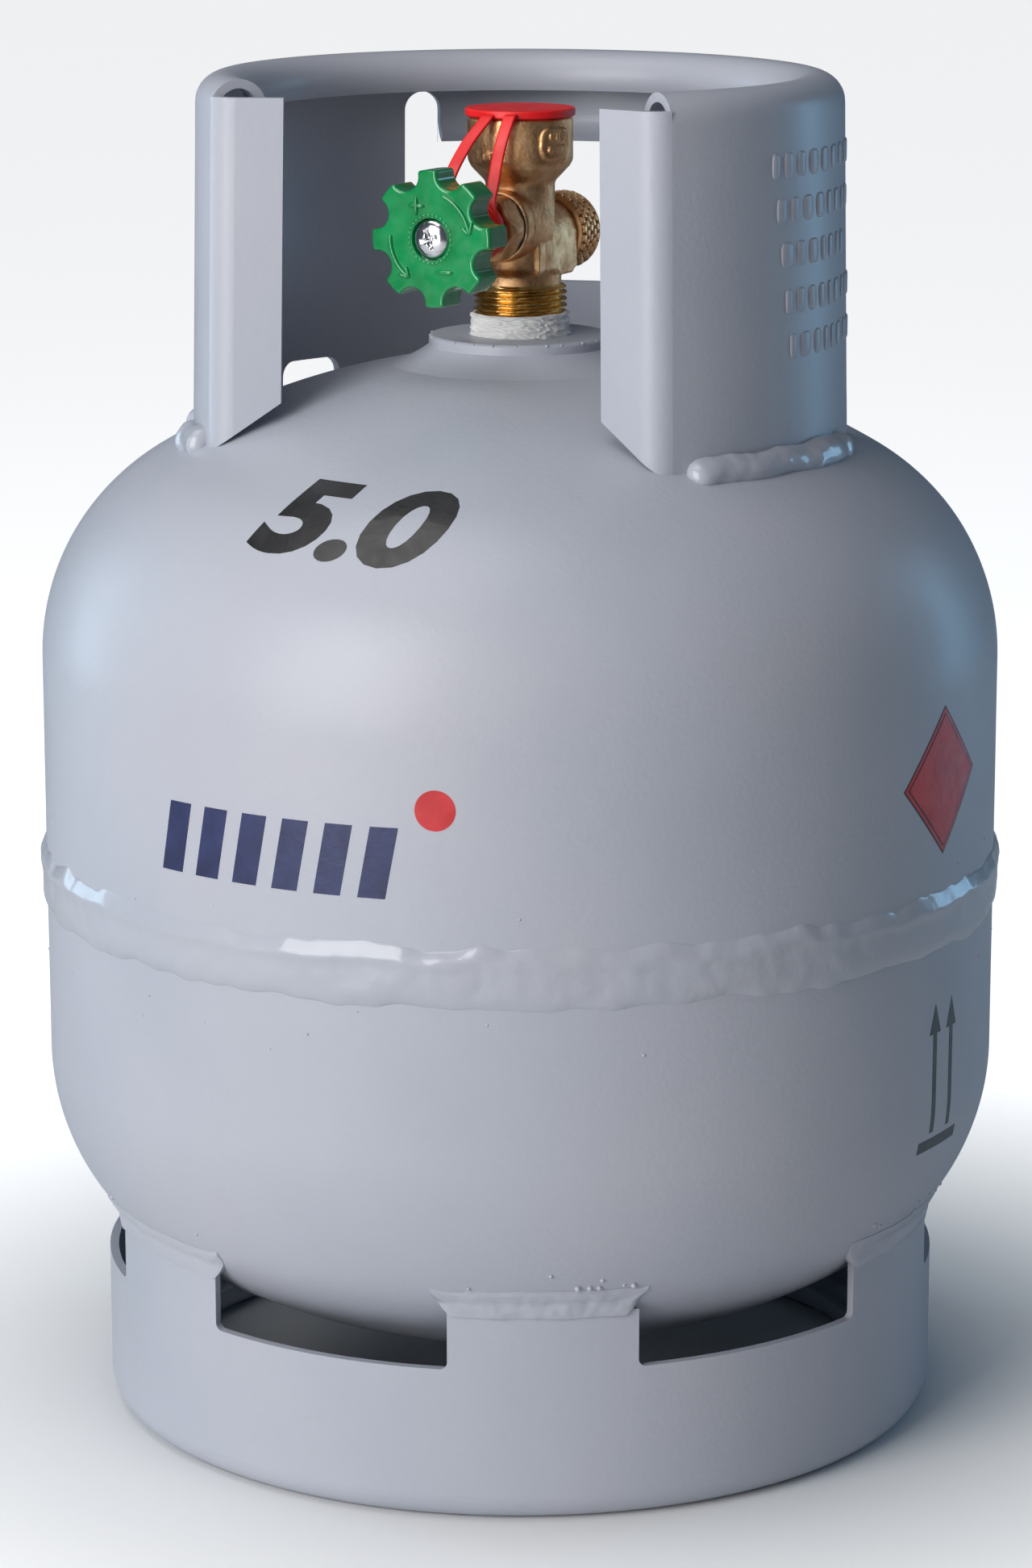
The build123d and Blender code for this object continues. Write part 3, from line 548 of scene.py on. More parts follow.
def hand_dents(height, radius, angle):
    """The slight waviness of pressed sheet."""
    x, y = radius * math.cos(angle), radius * math.sin(angle)
    fade = min(1, abs(height - SEAM_Z) / 20)
    return fade * (0.16 * smooth_noise(x, y, height, 60, 3) + 0.07 * smooth_noise(x, y, height, 25, 5))


def make_shells():
    seam_top = SEAM_Z + 1.5
    outside = head_profile(0)
    side = line_points((UPPER_HEAD_Z, BODY_RADIUS), (seam_top, BODY_RADIUS), 14)[1:]
    inner_side = line_points((seam_top, BODY_RADIUS - WALL), (UPPER_HEAD_Z, BODY_RADIUS - WALL), 4)
    inside = list(reversed(head_profile(WALL, 20)))
    upper = lathe("upper_shell_skin", outside + side + inner_side[:-1] + inside, UPRIGHT, 300, hand_dents)
    finish_piece(upper, PAINT, replaces=["upper_shell"])

    seam_low = SEAM_Z - 1.5
    bottom = []
    steps = 60
    for k in range(steps + 1):
        a = HEAD_JOIN * (k / steps) + 0.004 * (1 - k / steps)
        bottom.append((LOWER_CROWN_Z - CROWN * math.cos(a), CROWN * math.sin(a)))
    for k in range(1, steps + 1):
        a = HEAD_JOIN + (math.pi / 2 - HEAD_JOIN) * k / steps
        bottom.append((LOWER_HEAD_Z - KNUCKLE * math.cos(a), KNUCKLE_CENTRE + KNUCKLE * math.sin(a)))
    low_side = line_points((LOWER_HEAD_Z, BODY_RADIUS), (seam_low, BODY_RADIUS), 8)[1:]
    inner = [(seam_low, BODY_RADIUS - WALL)]
    inner += [(z, max(r - WALL, 0.5)) for z, r in reversed(bottom[::3])]
    inner = [(z + WALL * (1 if z < LOWER_HEAD_Z - 20 else 0), r) for z, r in inner]
    lower = lathe("lower_shell_skin", bottom + low_side + inner, UPRIGHT, 300, hand_dents)
    finish_piece(lower, PAINT, replaces=["lower_shell"])


def make_girth_weld():
    """A wide hand-laid bead: wandering edges, two overlapping runs, lumps and faint ripples."""
    columns, across = 1100, 34
    half_width, height = 8.4, 2.0
    rings = []
    for k in range(columns):
        angle = 2 * math.pi * k / columns
        cx, cy = math.cos(angle), math.sin(angle)
        x, y = cx * BODY_RADIUS, cy * BODY_RADIUS
        top = half_width + 1.9 * smooth_noise(x, y, 0, 20, 1) + 1.1 * smooth_noise(x, y, 0, 7, 2)
        low = half_width + 2.0 * smooth_noise(x, y, 0, 19, 4) + 1.2 * smooth_noise(x, y, 0, 7.5, 6)
        ring = []
        for j in range(across + 1):
            v = -1 + 2 * j / across
            z = SEAM_Z + v * (top if v > 0 else low)
            body = (1 - abs(v) ** 3.2) ** 0.8
            second_run = 0.55 * math.exp(-(((v - 0.55 - 0.2 * smooth_noise(x, y, 0, 30, 7)) / 0.24) ** 2))
            lumps = 0.50 * smooth_noise(x, y, z, 13, 8) + 0.20 * smooth_noise(x, y, z, 4.6, 9)
            ripple = 0.05 * smooth_noise(angle * BODY_RADIUS * 1.6 + 3 * v * v, 4 * v, 0, 1.5, 3)
            rise = body * (height * 0.72 + second_run + lumps * (0.35 + 0.65 * body) + ripple)
            radius = BODY_RADIUS - 0.15 + max(0.0, rise)
            ring.append(Vector((cx * radius, cy * radius, z)))
        for z in (SEAM_Z + half_width, SEAM_Z - half_width):
            ring.append(Vector((cx * (BODY_RADIUS - 1.4), cy * (BODY_RADIUS - 1.4), z)))
        rings.append(ring)
    bead = add_tube("girth_weld_bead", rings, closed=True, sharp=60)
    finish_piece(bead, THICK_PAINT, replaces=["girth_weld"])


def surface_frame(angle, height):
    """A point on the vessel's skin and its outward direction; angle in degrees from +X."""
    a = math.radians(angle)
    radius = vessel_radius(height)
    step = 0.5
    slope = (vessel_radius(height + step) - vessel_radius(height - step)) / (2 * step)
    spoke = Vector((math.cos(a), math.sin(a), 0))
    normal = (spoke - UP * slope).normalized()
    return spoke * radius + UP * height, normal


def bead_rings(path, outs, width, height, seed, lump=0.5, taper=0.12, around=20):
    """Rings of a lumpy weld bead: path points, outward directions and its half width and height."""
    rings = []
    count = len(path)
    for k, (centre, out) in enumerate(zip(path, outs)):
        ahead = (path[min(k + 1, count - 1)] - path[max(k - 1, 0)]).normalized()
        side = ahead.cross(out).normalized()
        t = k / (count - 1)
        ends = min(t, 1 - t) / taper
        blob = 1 + 0.3 * math.exp(-((t * count / 5) ** 2))
        size = math.sqrt(max(0.02, 1 - (1 - min(1, ends)) ** 2)) * blob
        ring = []
        for c, s in circle(around):
            direction = side * c * width + out * s * height
            p = centre + direction * size
            coarse = 0.42 * smooth_noise(p.x, p.y, p.z, 10, seed)
            n = 1 + lump * (coarse + 0.12 * smooth_noise(p.x, p.y, p.z, 3.2, seed + 5))
            ring.append(centre + direction * size * n)
        rings.append(ring)
    return rings


def merge_objects(name, objects):
    """One mesh object from several."""
    joined = bmesh.new()
    for obj in objects:
        joined.from_mesh(obj.data)
    mesh = bpy.data.meshes.new(name)
    joined.to_mesh(mesh)
    joined.free()
    for obj in objects:
        old = obj.data
        bpy.data.objects.remove(obj)
        bpy.data.meshes.remove(old)
    return link(name, mesh)


def ball(centre, radius):
    """A small blob of spatter."""
    made = bmesh.new()
    bmesh.ops.create_icosphere(made, subdivisions=2, radius=radius * MM)
    for v in made.verts:
        v.co += Vector(centre) * MM
    mesh = bpy.data.meshes.new("blob")
    made.to_mesh(mesh)
    made.free()
    shade_smooth(mesh)
    return link("blob", mesh)


def make_collar_welds():
    beads = [(-40, 46), (38, 26), (73, 34), (116, 26), (172, 22), (211, 10)]
    made = []
    for number, (start, length) in enumerate(beads):
        path, outs = [], []
        steps = int(length * 1.6)
        for k in range(steps + 1):
            angle = math.radians(start + length * k / steps - OPENING_TURN)
            spoke = Vector((math.cos(angle), math.sin(angle), 0))
            radius = GUARD_BASE_RADIUS + 1.0
            path.append(spoke * radius + UP * (upper_height(radius) + 0.6))
            outs.append((spoke + UP * 0.9).normalized())
        made.append(add_tube("bead", bead_rings(path, outs, 4.4, 3.6, 3.0 * number + 1, 0.75, 0.10)))
    welds = merge_objects("collar_weld_beads", made)
    finish_piece(welds, THICK_PAINT, replaces=["collar_welds"])


def make_foot_welds():
    """Each tab is bridged to the head by a flat filler plate, a little wider than the tab."""
    made = []
    steps, across = 90, 14
    for tab in range(6):
        middle = FIRST_TAB + 60 * tab
        first, last = -14.4 - 0.5 * (tab % 2), 13.2 + 0.8 * (tab % 3)
        rings = []
        for k in range(steps + 1):
            t = k / steps
            a = math.radians(middle + first + (last - first) * t)
            spoke = Vector((math.cos(a), math.sin(a), 0))
            end = min(t, 1 - t) * (last - first)
            point = max(0.0, 1 - end / 2.6) ** 1.5
            low = TAB_TOP_Z - 1.2 + 6.6 * point + 0.7 * smooth_noise(40 * t, tab * 9, 0, 7, 3)
            high = TAB_TOP_Z + 7.4 + 0.6 * smooth_noise(40 * t, tab * 7, 5, 6, 8) + 0.5 * point
            ring = []
            for j in range(across + 1):
                v = j / across
                z = low + (high - low) * v
                base = max(FOOT_RADIUS, vessel_radius(z))
                spot = (50 * t, 9 * v, tab * 5)
                lumps = 0.5 * smooth_noise(*spot, 6, 4) + 0.3 * smooth_noise(*spot, 2.5, 6)
                rise = (1.25 + lumps) * math.sin(math.pi * min(1, 0.12 + 0.95 * v)) ** 0.6
                ring.append(spoke * (base + max(0.05, rise) * (1 - 0.6 * point)) + UP * z)
            ring.append(spoke * (vessel_radius(high) - 1.2) + UP * high)
            ring.append(spoke * (FOOT_RADIUS - 1.2) + UP * (low + 0.4))
            rings.append(ring)
        made.append(add_tube("plate", rings, sharp=60))
    welds = merge_objects("foot_ring_weld_beads", made)
    finish_piece(welds, THICK_PAINT, replaces=["foot_ring_welds"])


def make_spatter():
    """Small balls of weld spatter under the paint, near the beads."""
    blobs = []
    for _ in range(46):
        angle = random.uniform(0, 360)
        side = random.choice((-1, 1))
        height = SEAM_Z + side * random.uniform(9, 24)
        point, normal = surface_frame(angle, height)
        blobs.append(ball(point - normal * 0.1, random.uniform(0.25, 0.55)))
    for _ in range(26):
        tab = random.randrange(6)
        angle = FIRST_TAB + 60 * tab + random.uniform(-13, 13)
        height = TAB_TOP_Z + random.uniform(8, 13)
        point, normal = surface_frame(angle, height)
        blobs.append(ball(point - normal * 0.1, random.uniform(0.4, 0.9)))
    for turn, radius in ((4.1, 0.95), (5.6, 0.8), (6.8, 0.75), (11.2, 0.85), (-9.4, 0.5)):
        point, normal = surface_frame(FIRST_TAB + turn, TAB_TOP_Z + 8.2)
        blobs.append(ball(point + normal * 0.2, radius))
    for turn in range(0, 360, 15):
        wander = 7 * smooth_noise(turn, 3, 8, 11, 1)
        spot = polar(turn + wander, BOSS_RADIUS - 0.3, BOSS_TOP_Z - 0.5)
        blobs.append(ball(spot, 0.35 + 0.15 * (turn % 2)))
    spatter = merge_objects("weld_spatter", blobs)
    finish_piece(spatter, THICK_PAINT)


make_shells()
make_girth_weld()
make_collar_welds()
make_foot_welds()
make_spatter()


# ---------------------------------------------------------------- valve body
def curved_pad(angle, height, half_width, half_height, low, high):
    """A raised rounded pad that follows an upright round wall."""
    rings = []
    for radius, grow in ((low, 1.15), (high - 0.2, 1.0), (high, 0.86)):
        ring = []
        for c, s in circle(28):
            u = math.copysign(abs(c) ** 0.55, c) * half_width * grow
            v = math.copysign(abs(s) ** 0.55, s) * half_height * grow
            ring.append(polar(angle + math.degrees(u / low), radius, height + v))
        rings.append(ring)
    return add_tube("pad", rings)


def use_modifier_result(obj):
    """Replaces an object's mesh with what its modifiers make of it."""
    graph = bpy.context.evaluated_depsgraph_get()
    graph.update()
    mesh = bpy.data.meshes.new_from_object(obj.evaluated_get(graph))
    obj.modifiers.clear()
    old = obj.data
    obj.data = mesh
    bpy.data.meshes.remove(old)


def cut_away(obj, cutter):
    """Takes the cutter's volume out of an object."""
    step = obj.modifiers.new("cut", "BOOLEAN")
    step.operation = "DIFFERENCE"
    step.solver = "EXACT"
    step.object = cutter
    use_modifier_result(obj)
    mesh = cutter.data
    bpy.data.objects.remove(cutter)
    bpy.data.meshes.remove(mesh)


def block_corners():
    """The square block under the bosses, with its lower rear edge sloped off."""
    half = 9.3
    outline = [(5.5, 321), (-13.2, 321), (-15.9, 323.2), (-15.9, 333), (5.5, 333)]
    rings = []
    for t in (-half, half):
        rings.append([WHEEL_WAY * s + WHEEL_SIDE * t + UP * z for s, z in outline])
    return add_tube("block", rings)


def make_cast_body():
    """The sand casting: overlapping solids melted into one skin, with a grainy surface."""
    upright = [(317.8, 11.4), (321.8, 11.4), (323.4, 9.6), (346.6, 9.6), (347.6, 10.0), (349.6, 11.9)]
    upright += [(351.6, 13.7), (353.2, 14.5), (355, CUP_RADIUS), (364.4, CUP_RADIUS), (CUP_TOP_Z, 14.0)]
    parts = [
        turned("upright", upright, UPRIGHT),
        block_corners(),
        turned("wheel_boss", [(-2, 9.7), (11.9, 9.7), (12.5, 9.2)], ALONG_WHEEL),
        turned("shoulder", [(-1, 10.6), (3, 10.6), (8.6, 9.9)], ALONG_WHEEL),
        turned("relief_boss", [(-2, 9.3), (12, 9.3), (16, 9.0), (19.4, 9.0)], ALONG_RELIEF),
        curved_pad(-48, 358.4, 4.6, 4.2, 13.4, 15.35),
        curved_pad(-128, 354.8, 1.6, 1.2, 13.4, 15.5),
    ]
    for row, count in ((360.4, 3), (357.0, 4)):
        for k in range(count):
            middle = -48 + (k - (count - 1) / 2) * 24 / count
            parts.append(curved_pad(middle, row, 0.62, 1.05, 15.0, 15.85))
    body = merge_objects("cast_valve_body", parts)
    melt = body.modifiers.new("melt", "REMESH")
    melt.mode = "VOXEL"
    melt.voxel_size = 0.34 * MM
    soften = body.modifiers.new("soften", "SMOOTH")
    soften.factor = 0.5
    soften.iterations = 5
    use_modifier_result(body)
    mesh = body.data
    for v, normal in zip(mesh.vertices, [n.vector.copy() for n in mesh.vertex_normals]):
        p = v.co / MM
        rise = 0.055 * smooth_noise(p.x, p.y, p.z, 0.9, 2) + 0.13 * smooth_noise(p.x, p.y, p.z, 5, 4)
        v.co += normal * rise * MM
    cut_away(body, turned("bore", [(0.8, 5.0), (8.5, 5.0), (8.5, 7.25), (14, 7.25)], ALONG_WHEEL, 64))
    cut_away(body, turned("bore", [(14.0, 6.0), (21, 6.0)], ALONG_RELIEF, 64))
    socket = [(350.4, 7), (352.2, 12.0), (361.8, 12.0), (361.8, 12.3), (367, 12.3)]
    cut_away(body, turned("bore", socket, UPRIGHT, 96))
    shade_smooth(body.data)
    body.data.set_sharp_from_angle(angle=math.radians(50))
    finish_piece(body, CAST_BRASS, replaces=["valve_body"])


def thread_wave(height, angle):
    """0 in the root and 1 on the crest of a right-hand thread."""
    phase = (height / THREAD_PITCH - angle / (2 * math.pi)) % 1
    wave = 1 - abs(2 * phase - 1)
    return min(1.0, max(0.0, (wave - 0.12) / 0.74))


def make_taper_thread():
    """Bright cut thread of the valve's shank, above the tape."""
    profile = [(290, 12.4), (303, 12.4)]
    profile += [(303 + 0.13 * k, THREAD_ROOT) for k in range(1, 123)]
    profile += [(319.2, 11.5)]

    def push(height, radius, angle):
        if radius != THREAD_ROOT:
            return 0
        fade = min(1, max(0, (319.0 - height) / 0.9))
        return 1.3 * thread_wave(height, angle) * fade

    thread = turned("taper_thread", profile, UPRIGHT, 160, push, 40)
    finish_piece(thread, TURNED_BRASS)


def make_tape():
    """Thread tape wound up the shank: it sinks into the thread and is creased on the slant."""
    columns, rows = 220, 60
    rings = []
    for k in range(columns):
        angle = 2 * math.pi * k / columns
        cx, cy = math.cos(angle), math.sin(angle)
        wander = 0.35 * smooth_noise(cx * 13, cy * 13, 0, 6, 3)
        top = TAPE_TOP_Z + wander + 0.9 * (angle / (2 * math.pi) - 0.5)
        ring = []
        for j in range(rows + 1):
            t = j / rows
            z = BOSS_TOP_Z - 1.0 + (top - BOSS_TOP_Z + 1.0) * t
            along = angle * 13
            crease = smooth_noise(along * 0.35 - z * 0.9, z * 1.6 + along * 0.5, 0, 1.3, 11)
            bundle = smooth_noise(cx * 13, cy * 13, z * 2.2, 4.5, 7)
            grip = 0.5 * thread_wave(z, angle) * (0.25 + 0.75 * t)
            edge = 0.55 * (1 - abs(crease)) ** 5
            radius = 12.95 + grip + edge + 0.5 * bundle + 0.8 * (1 - t) ** 1.5
            if j == rows:
                radius -= 0.25
            ring.append(Vector((cx * radius, cy * radius, z)))
        for z in (top - 0.1, BOSS_TOP_Z - 1.0):
            ring.append(Vector((cx * THREAD_RADIUS, cy * THREAD_RADIUS, z)))
        rings.append(ring)
    tape = add_tube("thread_tape", rings, closed=True, sharp=50)
    finish_piece(tape, TAPE, replaces=["ptfe_tape"])


def make_hood():
    """Relief valve hood with five rows of coarse square knurling round its side."""
    start, end, radius = 16.2, 27.2, 10.8
    side = line_points((start + 0.9, radius), (end - 1.2, radius), 60)
    profile = [(start, 9.1), (start, radius - 1.0), (start + 0.35, radius - 0.35)] + side
    profile += arc_points((end - 1.2, radius - 1.2), 1.2, 90, -90, 6)[1:]
    profile += [(end, 1.8), (24.4, 1.8), (24.4, 6.0), (19.5, 6.0), (19.5, 9.1)]

    def push(distance, here, angle):
        if here != radius:
            return 0
        row = (distance - start - 0.9) / (end - start - 2.1) * 5
        lean = 0.5 * (int(row) % 2)
        across = abs(math.sin(math.pi * row))
        around = abs(math.sin(13 * angle + math.pi * lean))
        lump = min(across, around)
        return -0.95 + 1.15 * min(1, lump * 1.6) + 0.08 * smooth_noise(distance * 2, 9 * angle, 0, 2, 5)

    hood = lathe("relief_hood", profile, ALONG_RELIEF, 260, push, 45)
    finish_piece(hood, CAST_BRASS, replaces=["relief_cap"])


def make_socket():
    """Machined lining of the outlet: the threaded wall that the connector screws into."""
    profile = [(350.4, 7.1), (352.2, 12.05), (361.8, 12.05), (361.8, 11.3)]
    profile += [(361.6 - 0.14 * k, OUTLET_RADIUS) for k in range(64)]
    profile += [(352.4, OUTLET_RADIUS), (350.8, 7.1)]

    def push(height, radius, angle):
        if radius != OUTLET_RADIUS:
            return 0
        return -0.6 * thread_wave(height, -angle) * min(1, max(0, (361.4 - height) / 0.8))

    socket = lathe("outlet_thread", profile, UPRIGHT, 128, push, 40)
    finish_piece(socket, TURNED_BRASS)


def make_bonnet():
    """The bonnet nut, its corners chamfered almost round, and its neck."""
    profile = [(14.8, 3.6), (14.8, 5.2), (8.6, 5.2), (8.6, 7.1), (13.35, 7.1), (13.35, 8.6)]
    profile += line_points((13.4, HEX_RADIUS), (20.4, HEX_RADIUS), 24)
    profile += [(20.5, 8.5), (20.5, 6.3), (26.6, 6.3), (27.0, 5.9), (27.0, 3.6)]

    def push(distance, radius, angle):
        if radius != HEX_RADIUS:
            return 0
        flat = HEX_RADIUS / math.cos((angle % (math.pi / 3)) - math.pi / 6)
        limit = 9.0 + 0.65 * min(1, (distance - 13.4) / 1.6, (20.4 - distance) / 1.6)
        return min(flat, limit) - HEX_RADIUS

    nut = lathe("bonnet_nut", profile, ALONG_WHEEL, 180, push, 30)
    finish_piece(nut, CAST_BRASS, replaces=["bonnet"])


def make_screw():
    """Pan-head screw with a cross recess, standing in the handwheel's middle."""
    head = [(36.0, 1.95), (46.0, 1.95), (46.0, 5.4), (47.2, 5.5), (47.9, 5.25), (48.6, 4.5), (49.1, 3.3)]
    head += [(49.4, 1.9), (49.5, 0.4)]
    screw = turned("wheel_screw", head, ALONG_WHEEL, 96, sharp=45)
    for way, across in ((WHEEL_SIDE, UP), (UP, -WHEEL_SIDE)):
        tilt = (way + across * 0.35).normalized()
        other = WHEEL_WAY.cross(tilt)
        rings = []
        for face, long, half in ((47.5, 0.7, 0.35), (50.0, 3.1, 0.62)):
            centre = UP * STEM_Z + WHEEL_WAY * face
            corners = ((-long, -half), (long, -half), (long, half), (-long, half))
            rings.append([centre + tilt * u + other * v for u, v in corners])
        cut_away(screw, add_tube("blade", rings))
    finish_piece(screw, STEEL, body="wheel", replaces=["handwheel_screw"])


def make_spring():
    """Spring of the relief valve, drawn as one fixed coil; the real one shortens as the poppet lifts."""
    start, end, turns, radius, wire = 17.2, 23.85, 4, 4.6, 0.5
    rings = []
    steps = 40 * turns
    for k in range(steps + 1):
        t = k / steps
        a = 2 * math.pi * turns * t
        spoke = -WHEEL_SIDE * math.cos(a) + UP * math.sin(a)
        centre = UP * RELIEF_Z + RELIEF_WAY * (start + (end - start) * t) + spoke * radius
        rings.append([centre + spoke * c * wire + RELIEF_WAY * s * wire for c, s in circle(12)])
    spring = add_tube("spring_coil", rings)
    finish_piece(spring, STEEL, replaces=["relief_spring"])
    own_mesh(spring)


def make_raised_marks():
    """Rows of raised bars pressed out of the guard, where the real one carries its data."""
    bars = []
    for row, height in enumerate((356.7, 344.8, 333.0, 320.5, 308.5)):
        angle = -42.0 + 1.2 * row
        for _ in range(9 - row % 3):
            half = random.choice((1.5, 2.0, 2.6))
            turn = math.degrees(half / 90)
            share = (height - 272.0) / 97.4
            skin = GUARD_BASE_RADIUS + share * (GUARD_RIM_RADIUS - GUARD_BASE_RADIUS)
            bars.append(curved_pad(angle + turn, height, half, 3.2, skin - 0.4, skin + 0.38))
            angle += 2 * turn + 1.5
    marks = merge_objects("guard_raised_bars", bars)
    finish_piece(marks, PAINT)


make_bonnet()
make_screw()
make_spring()
make_raised_marks()
make_cast_body()
make_taper_thread()
make_tape()
make_hood()
make_socket()


# ---------------------------------------------------------------- handwheel marks and tether
def wheel_point(angle, radius):
    """A point on the handwheel's face; the angle counts from its right, seen from the front."""
    a = math.radians(angle)
    middle = UP * STEM_Z + WHEEL_WAY * WHEEL_FACE
    return middle + WHEEL_SIDE * (radius * math.cos(a)) + UP * (radius * math.sin(a))


def ridge(points, half_width, height, around=14):
    """A half-sunk rounded ridge on the handwheel's face, along a line of points."""
    rings = []
    count = len(points)
    for k, centre in enumerate(points):
        ahead = (points[min(k + 1, count - 1)] - points[max(k - 1, 0)]).normalized()
        side = ahead.cross(WHEEL_WAY).normalized()
        size = 0.35 if k in (0, count - 1) else 1.0
        turns = circle(around)
        rings.append([centre + (side * c * half_width + WHEEL_WAY * s * height) * size for c, s in turns])
    return add_tube("ridge", rings)


def straight(start, end):
    return [start.lerp(end, k / 6) for k in range(7)]


def make_wheel_marks():
    """Two turning arrows and a plus and a minus, cast on the handwheel's face."""
    marks = []
    for start, end in ((74, 8), (176, 238)):
        marks.append(ridge([wheel_point(start + (end - start) * k / 24, 12.4) for k in range(25)], 0.6, 0.75))
        tip = wheel_point(end, 12.4)
        back = 14 if end < start else -14
        for radius in (10.6, 14.2):
            marks.append(ridge(straight(tip, wheel_point(end + back, radius)), 0.55, 0.75))
    plus = wheel_point(116, 9.8)
    minus = wheel_point(-62, 9.8)
    along = WHEEL_SIDE * 2.6
    marks.append(ridge(straight(plus - along, plus + along), 0.65, 0.75))
    marks.append(ridge(straight(plus - UP * 2.6, plus + UP * 2.6), 0.65, 0.75))
    marks.append(ridge(straight(minus - along, minus + along), 0.65, 0.75))
    for turn in range(0, 360, 12):
        marks.append(ridge([wheel_point(turn + d, 6.55) for d in (-7, 0, 7)], 0.4, 0.28, 10))
    raised = merge_objects("handwheel_marks", marks)
    finish_piece(raised, GREEN, body="wheel")


def spline(points, steps=12):
    """A smooth line through points."""
    result = []
    count = len(points)
    for k in range(count - 1):
        p0, p1 = points[max(k - 1, 0)], points[k]
        p2, p3 = points[k + 1], points[min(k + 2, count - 1)]
        for s in range(steps):
            t = s / steps
            square = (2 * p0 - 5 * p1 + 4 * p2 - p3) * t**2
            cube = (3 * p1 - p0 - 3 * p2 + p3) * t**3
            result.append(0.5 * (2 * p1 + (p2 - p0) * t + square + cube))
    result.append(points[-1].copy())
    return result


def ribbon(name, points, sides, width, thickness):
    """A flat strap with rounded edges; sides are the directions of its width at each given point."""
    path = spline(points)
    widths = spline(sides)
    rings = []
    for k, centre in enumerate(path):
        ahead = (path[min(k + 1, len(path) - 1)] - path[max(k - 1, 0)]).normalized()
        side = (widths[k] - ahead * widths[k].dot(ahead)).normalized()
        out = side.cross(ahead).normalized()
        ring = []
        for c, s in circle(20, 0.5):
            u = math.copysign(abs(c) ** 0.35, c) * width / 2
            v = math.copysign(abs(s) ** 0.5, s) * thickness / 2
            ring.append(centre + side * u + out * v)
        rings.append(ring)
    return add_tube(name, rings, sharp=50)


def make_tether():
    ring_profile = rounded_profile([(22.3, 6.35, 0), (25.3, 6.35, 0), (25.3, 8.3, 0.6), (22.3, 8.3, 0.6)])
    ring = lathe("tether_ring", ring_profile, ALONG_WHEEL, 96)
    finish_piece(ring, RED, replaces=["cap_tether"])
    ring_middle = WHEEL_WAY * 23.8 + UP * STEM_Z
    cap_rim = CAP_WAY * 14.4 + UP * 366.2
    right = [
        cap_rim + CAP_SIDE * 3.3,
        CAP_WAY * 16.9 + CAP_SIDE * 3.3 + UP * 365.2,
        Vector((-5.6, -18.6, 357.5)),
        Vector((-7.4, -21.8, 348.0)),
        Vector((-8.2, -23.6, 342.6)),
        ring_middle + WHEEL_SIDE * 6.6 + UP * 2.4,
        ring_middle + WHEEL_SIDE * 7.3 - UP * 1.0,
    ]
    between = (CAP_SIDE + WHEEL_SIDE).normalized()
    right_sides = [CAP_SIDE] * 4 + [between] + [WHEEL_WAY * 0.8 + WHEEL_SIDE * 0.6] * 2
    left = [
        cap_rim - CAP_SIDE * 3.3,
        CAP_WAY * 16.9 - CAP_SIDE * 3.5 + UP * 365.1,
        Vector((-14.6, -18.6, 358.8)),
        Vector((-19.0, -21.2, 350.5)),
        Vector((-20.6, -20.4, 343.0)),
        ring_middle - WHEEL_SIDE * 7.2 + UP * 1.5,
        ring_middle - WHEEL_SIDE * 7.3 - UP * 1.0,
    ]
    left_sides = [CAP_SIDE] * 4 + [between] + [WHEEL_WAY] * 2
    for name, points, sides in (("strap_right", right, right_sides), ("strap_left", left, left_sides)):
        strap = ribbon(name, points, sides, 3.4, 1.0)
        strap.data.materials.append(RED)
        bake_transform(strap)


make_wheel_marks()
make_tether()


# ---------------------------------------------------------------- painted marks
def meridian():
    """Points down the vessel's outline from the boss, each with its distance along the outline."""
    points = head_profile(0, 60)
    points += line_points((UPPER_HEAD_Z, BODY_RADIUS), (LOWER_HEAD_Z, BODY_RADIUS), 20)[1:]
    for k in range(1, 30):
        a = math.radians(75 * k / 30)
        points.append((LOWER_HEAD_Z - KNUCKLE * math.sin(a), KNUCKLE_CENTRE + KNUCKLE * math.cos(a)))
    run = [0.0]
    for before, after in zip(points, points[1:]):
        run.append(run[-1] + math.dist(before, after))
    return np.array(run), np.array([p[0] for p in points]), np.array([p[1] for p in points])


RUN, RUN_HEIGHT, RUN_RADIUS = meridian()


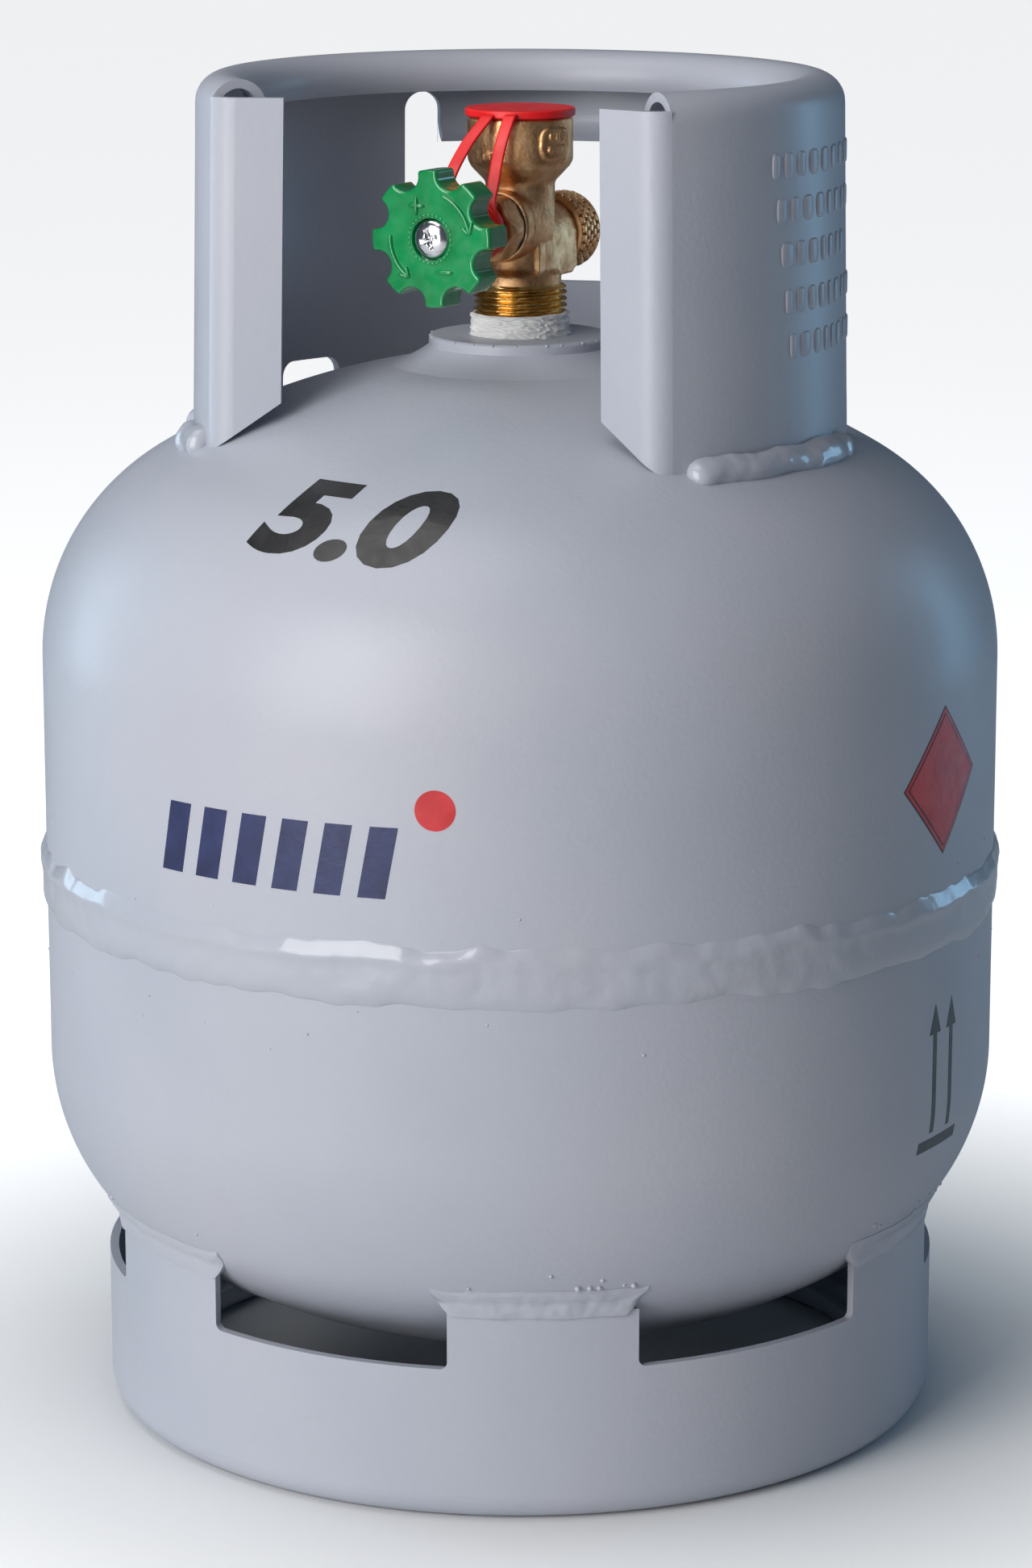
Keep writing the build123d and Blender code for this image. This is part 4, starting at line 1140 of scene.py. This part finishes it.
def lay_on_vessel(name, flat, angle, height, material, lean=0.0, grid=2.0, lift=0.05):
    """Wraps a flat mesh in millimetres on the vessel about a polar angle and height, as a thin film."""
    shape = bmesh.new()
    shape.from_mesh(flat)
    bpy.data.meshes.remove(flat)
    bmesh.ops.triangulate(shape, faces=shape.faces)
    for axis in range(2):
        values = [v.co[axis] for v in shape.verts]
        for k in range(math.ceil(min(values) / grid), math.floor(max(values) / grid) + 1):
            normal = Vector((1, 0, 0)) if axis == 0 else Vector((0, 1, 0))
            everything = list(shape.verts) + list(shape.edges) + list(shape.faces)
            bmesh.ops.bisect_plane(shape, geom=everything, plane_co=normal * k * grid, plane_no=normal)
    middle_run = np.interp(-height, -RUN_HEIGHT, RUN)
    middle_radius = np.interp(middle_run, RUN, RUN_RADIUS)
    turn = math.radians(lean)
    for v in shape.verts:
        u = v.co.x * math.cos(turn) - v.co.y * math.sin(turn)
        w = v.co.x * math.sin(turn) + v.co.y * math.cos(turn)
        run = middle_run - w
        z = float(np.interp(run, RUN, RUN_HEIGHT))
        radius = float(np.interp(run, RUN, RUN_RADIUS))
        a = math.radians(angle) + u / ((middle_radius + radius) / 2)
        above = float(np.interp(run - 1, RUN, RUN_HEIGHT)) - float(np.interp(run + 1, RUN, RUN_HEIGHT))
        outward = float(np.interp(run + 1, RUN, RUN_RADIUS)) - float(np.interp(run - 1, RUN, RUN_RADIUS))
        slope = Vector((above, outward)).normalized()
        radial = radius + hand_dents(z, radius, a) + lift * slope.x
        v.co = Vector((math.cos(a) * radial, math.sin(a) * radial, z + lift * slope.y)) * MM
    bmesh.ops.remove_doubles(shape, verts=shape.verts, dist=0.01 * MM)
    bmesh.ops.recalc_face_normals(shape, faces=shape.faces)
    mesh = bpy.data.meshes.new(name)
    shape.to_mesh(mesh)
    shape.free()
    outward_faces = sum(1 if f.normal.dot(f.center * Vector((1, 1, 0))) > 0 else -1 for f in mesh.polygons)
    if outward_faces < 0:
        mesh.flip_normals()
    shade_smooth(mesh)
    obj = link(name, mesh)
    film = obj.modifiers.new("film", "SOLIDIFY")
    film.thickness = 0.3 * MM
    film.offset = -1
    use_modifier_result(obj)
    obj.data.set_sharp_from_angle(angle=math.radians(40))
    return finish_piece(obj, material)


def polygon_mesh(outlines):
    """A flat mesh of separate filled outlines."""
    shape = bmesh.new()
    for outline in outlines:
        shape.faces.new([shape.verts.new((x, y, 0)) for x, y in outline])
    mesh = bpy.data.meshes.new("flat")
    shape.to_mesh(mesh)
    shape.free()
    return mesh


def number_mesh(text, height, slant, weight, stretch):
    """Filled figures from the built-in font, made bold and slanted."""
    curve = bpy.data.curves.new("figures", "FONT")
    curve.body = text
    curve.align_x = "CENTER"
    curve.size = height * 1.37
    curve.offset = weight
    curve.resolution_u = 5
    obj = link("figures", curve)
    graph = bpy.context.evaluated_depsgraph_get()
    mesh = bpy.data.meshes.new_from_object(obj.evaluated_get(graph))
    bpy.data.objects.remove(obj)
    bpy.data.curves.remove(curve)
    for v in mesh.vertices:
        v.co.y -= height / 2
        v.co.x = v.co.x * stretch + v.co.y * slant
    return mesh


def make_marks():
    """A number on the dome, and six plain bars with a dot below it."""
    lay_on_vessel("tare_number", number_mesh("5.0", 27, 0.26, 1.5, 1.12), -113.5, 269.5, BLACK_INK, lean=-3)
    bars = []
    for number in range(6):
        left = -37 + 12.4 * number
        bars.append([(left, -12), (left + 7.6, -12), (left + 11.2, 7), (left + 3.6, 7)])
    lay_on_vessel("maker_panel", polygon_mesh(bars), -119, 187.5, NAVY_INK)
    dot = [(5.4 * c, 5.4 * s) for c, s in circle(40)]
    lay_on_vessel("maker_dot", polygon_mesh([dot]), -99.4, 199.5, RED_INK, grid=1.5)


def make_side_marks():
    """A plain red diamond in a dark border, and a pair of arrows over a bar."""
    size = 20.5
    diamond = [(0, -size), (size, 0), (0, size), (-size, 0)]
    place = (-31.9, 193.8)
    lay_on_vessel("diamond_border", polygon_mesh([diamond]), *place, BLACK_INK)
    layers = (("edge", 0.965, RED_INK, 0.10), ("line", 0.90, BLACK_INK, 0.15), ("field", 0.87, RED_INK, 0.20))
    for name, share, ink, lift in layers:
        inner = [(x * share, y * share) for x, y in diamond]
        lay_on_vessel("diamond_" + name, polygon_mesh([inner]), *place, ink, lift=lift)
    shapes = [[(-11.5, -21.5), (11.5, -21.5), (11.5, -18), (-11.5, -18)]]
    for middle in (-5.2, 4.6):
        shapes.append([(middle - 1.1, -16.2), (middle + 1.1, -16.2), (middle + 1.1, 12), (middle - 1.1, 12)])
        shapes.append([(middle - 3.2, 12), (middle + 3.2, 12), (middle, 20.5)])
    lay_on_vessel("arrow_pair", polygon_mesh(shapes), -30.6, 111.5, DARK_INK)


make_marks()
make_side_marks()
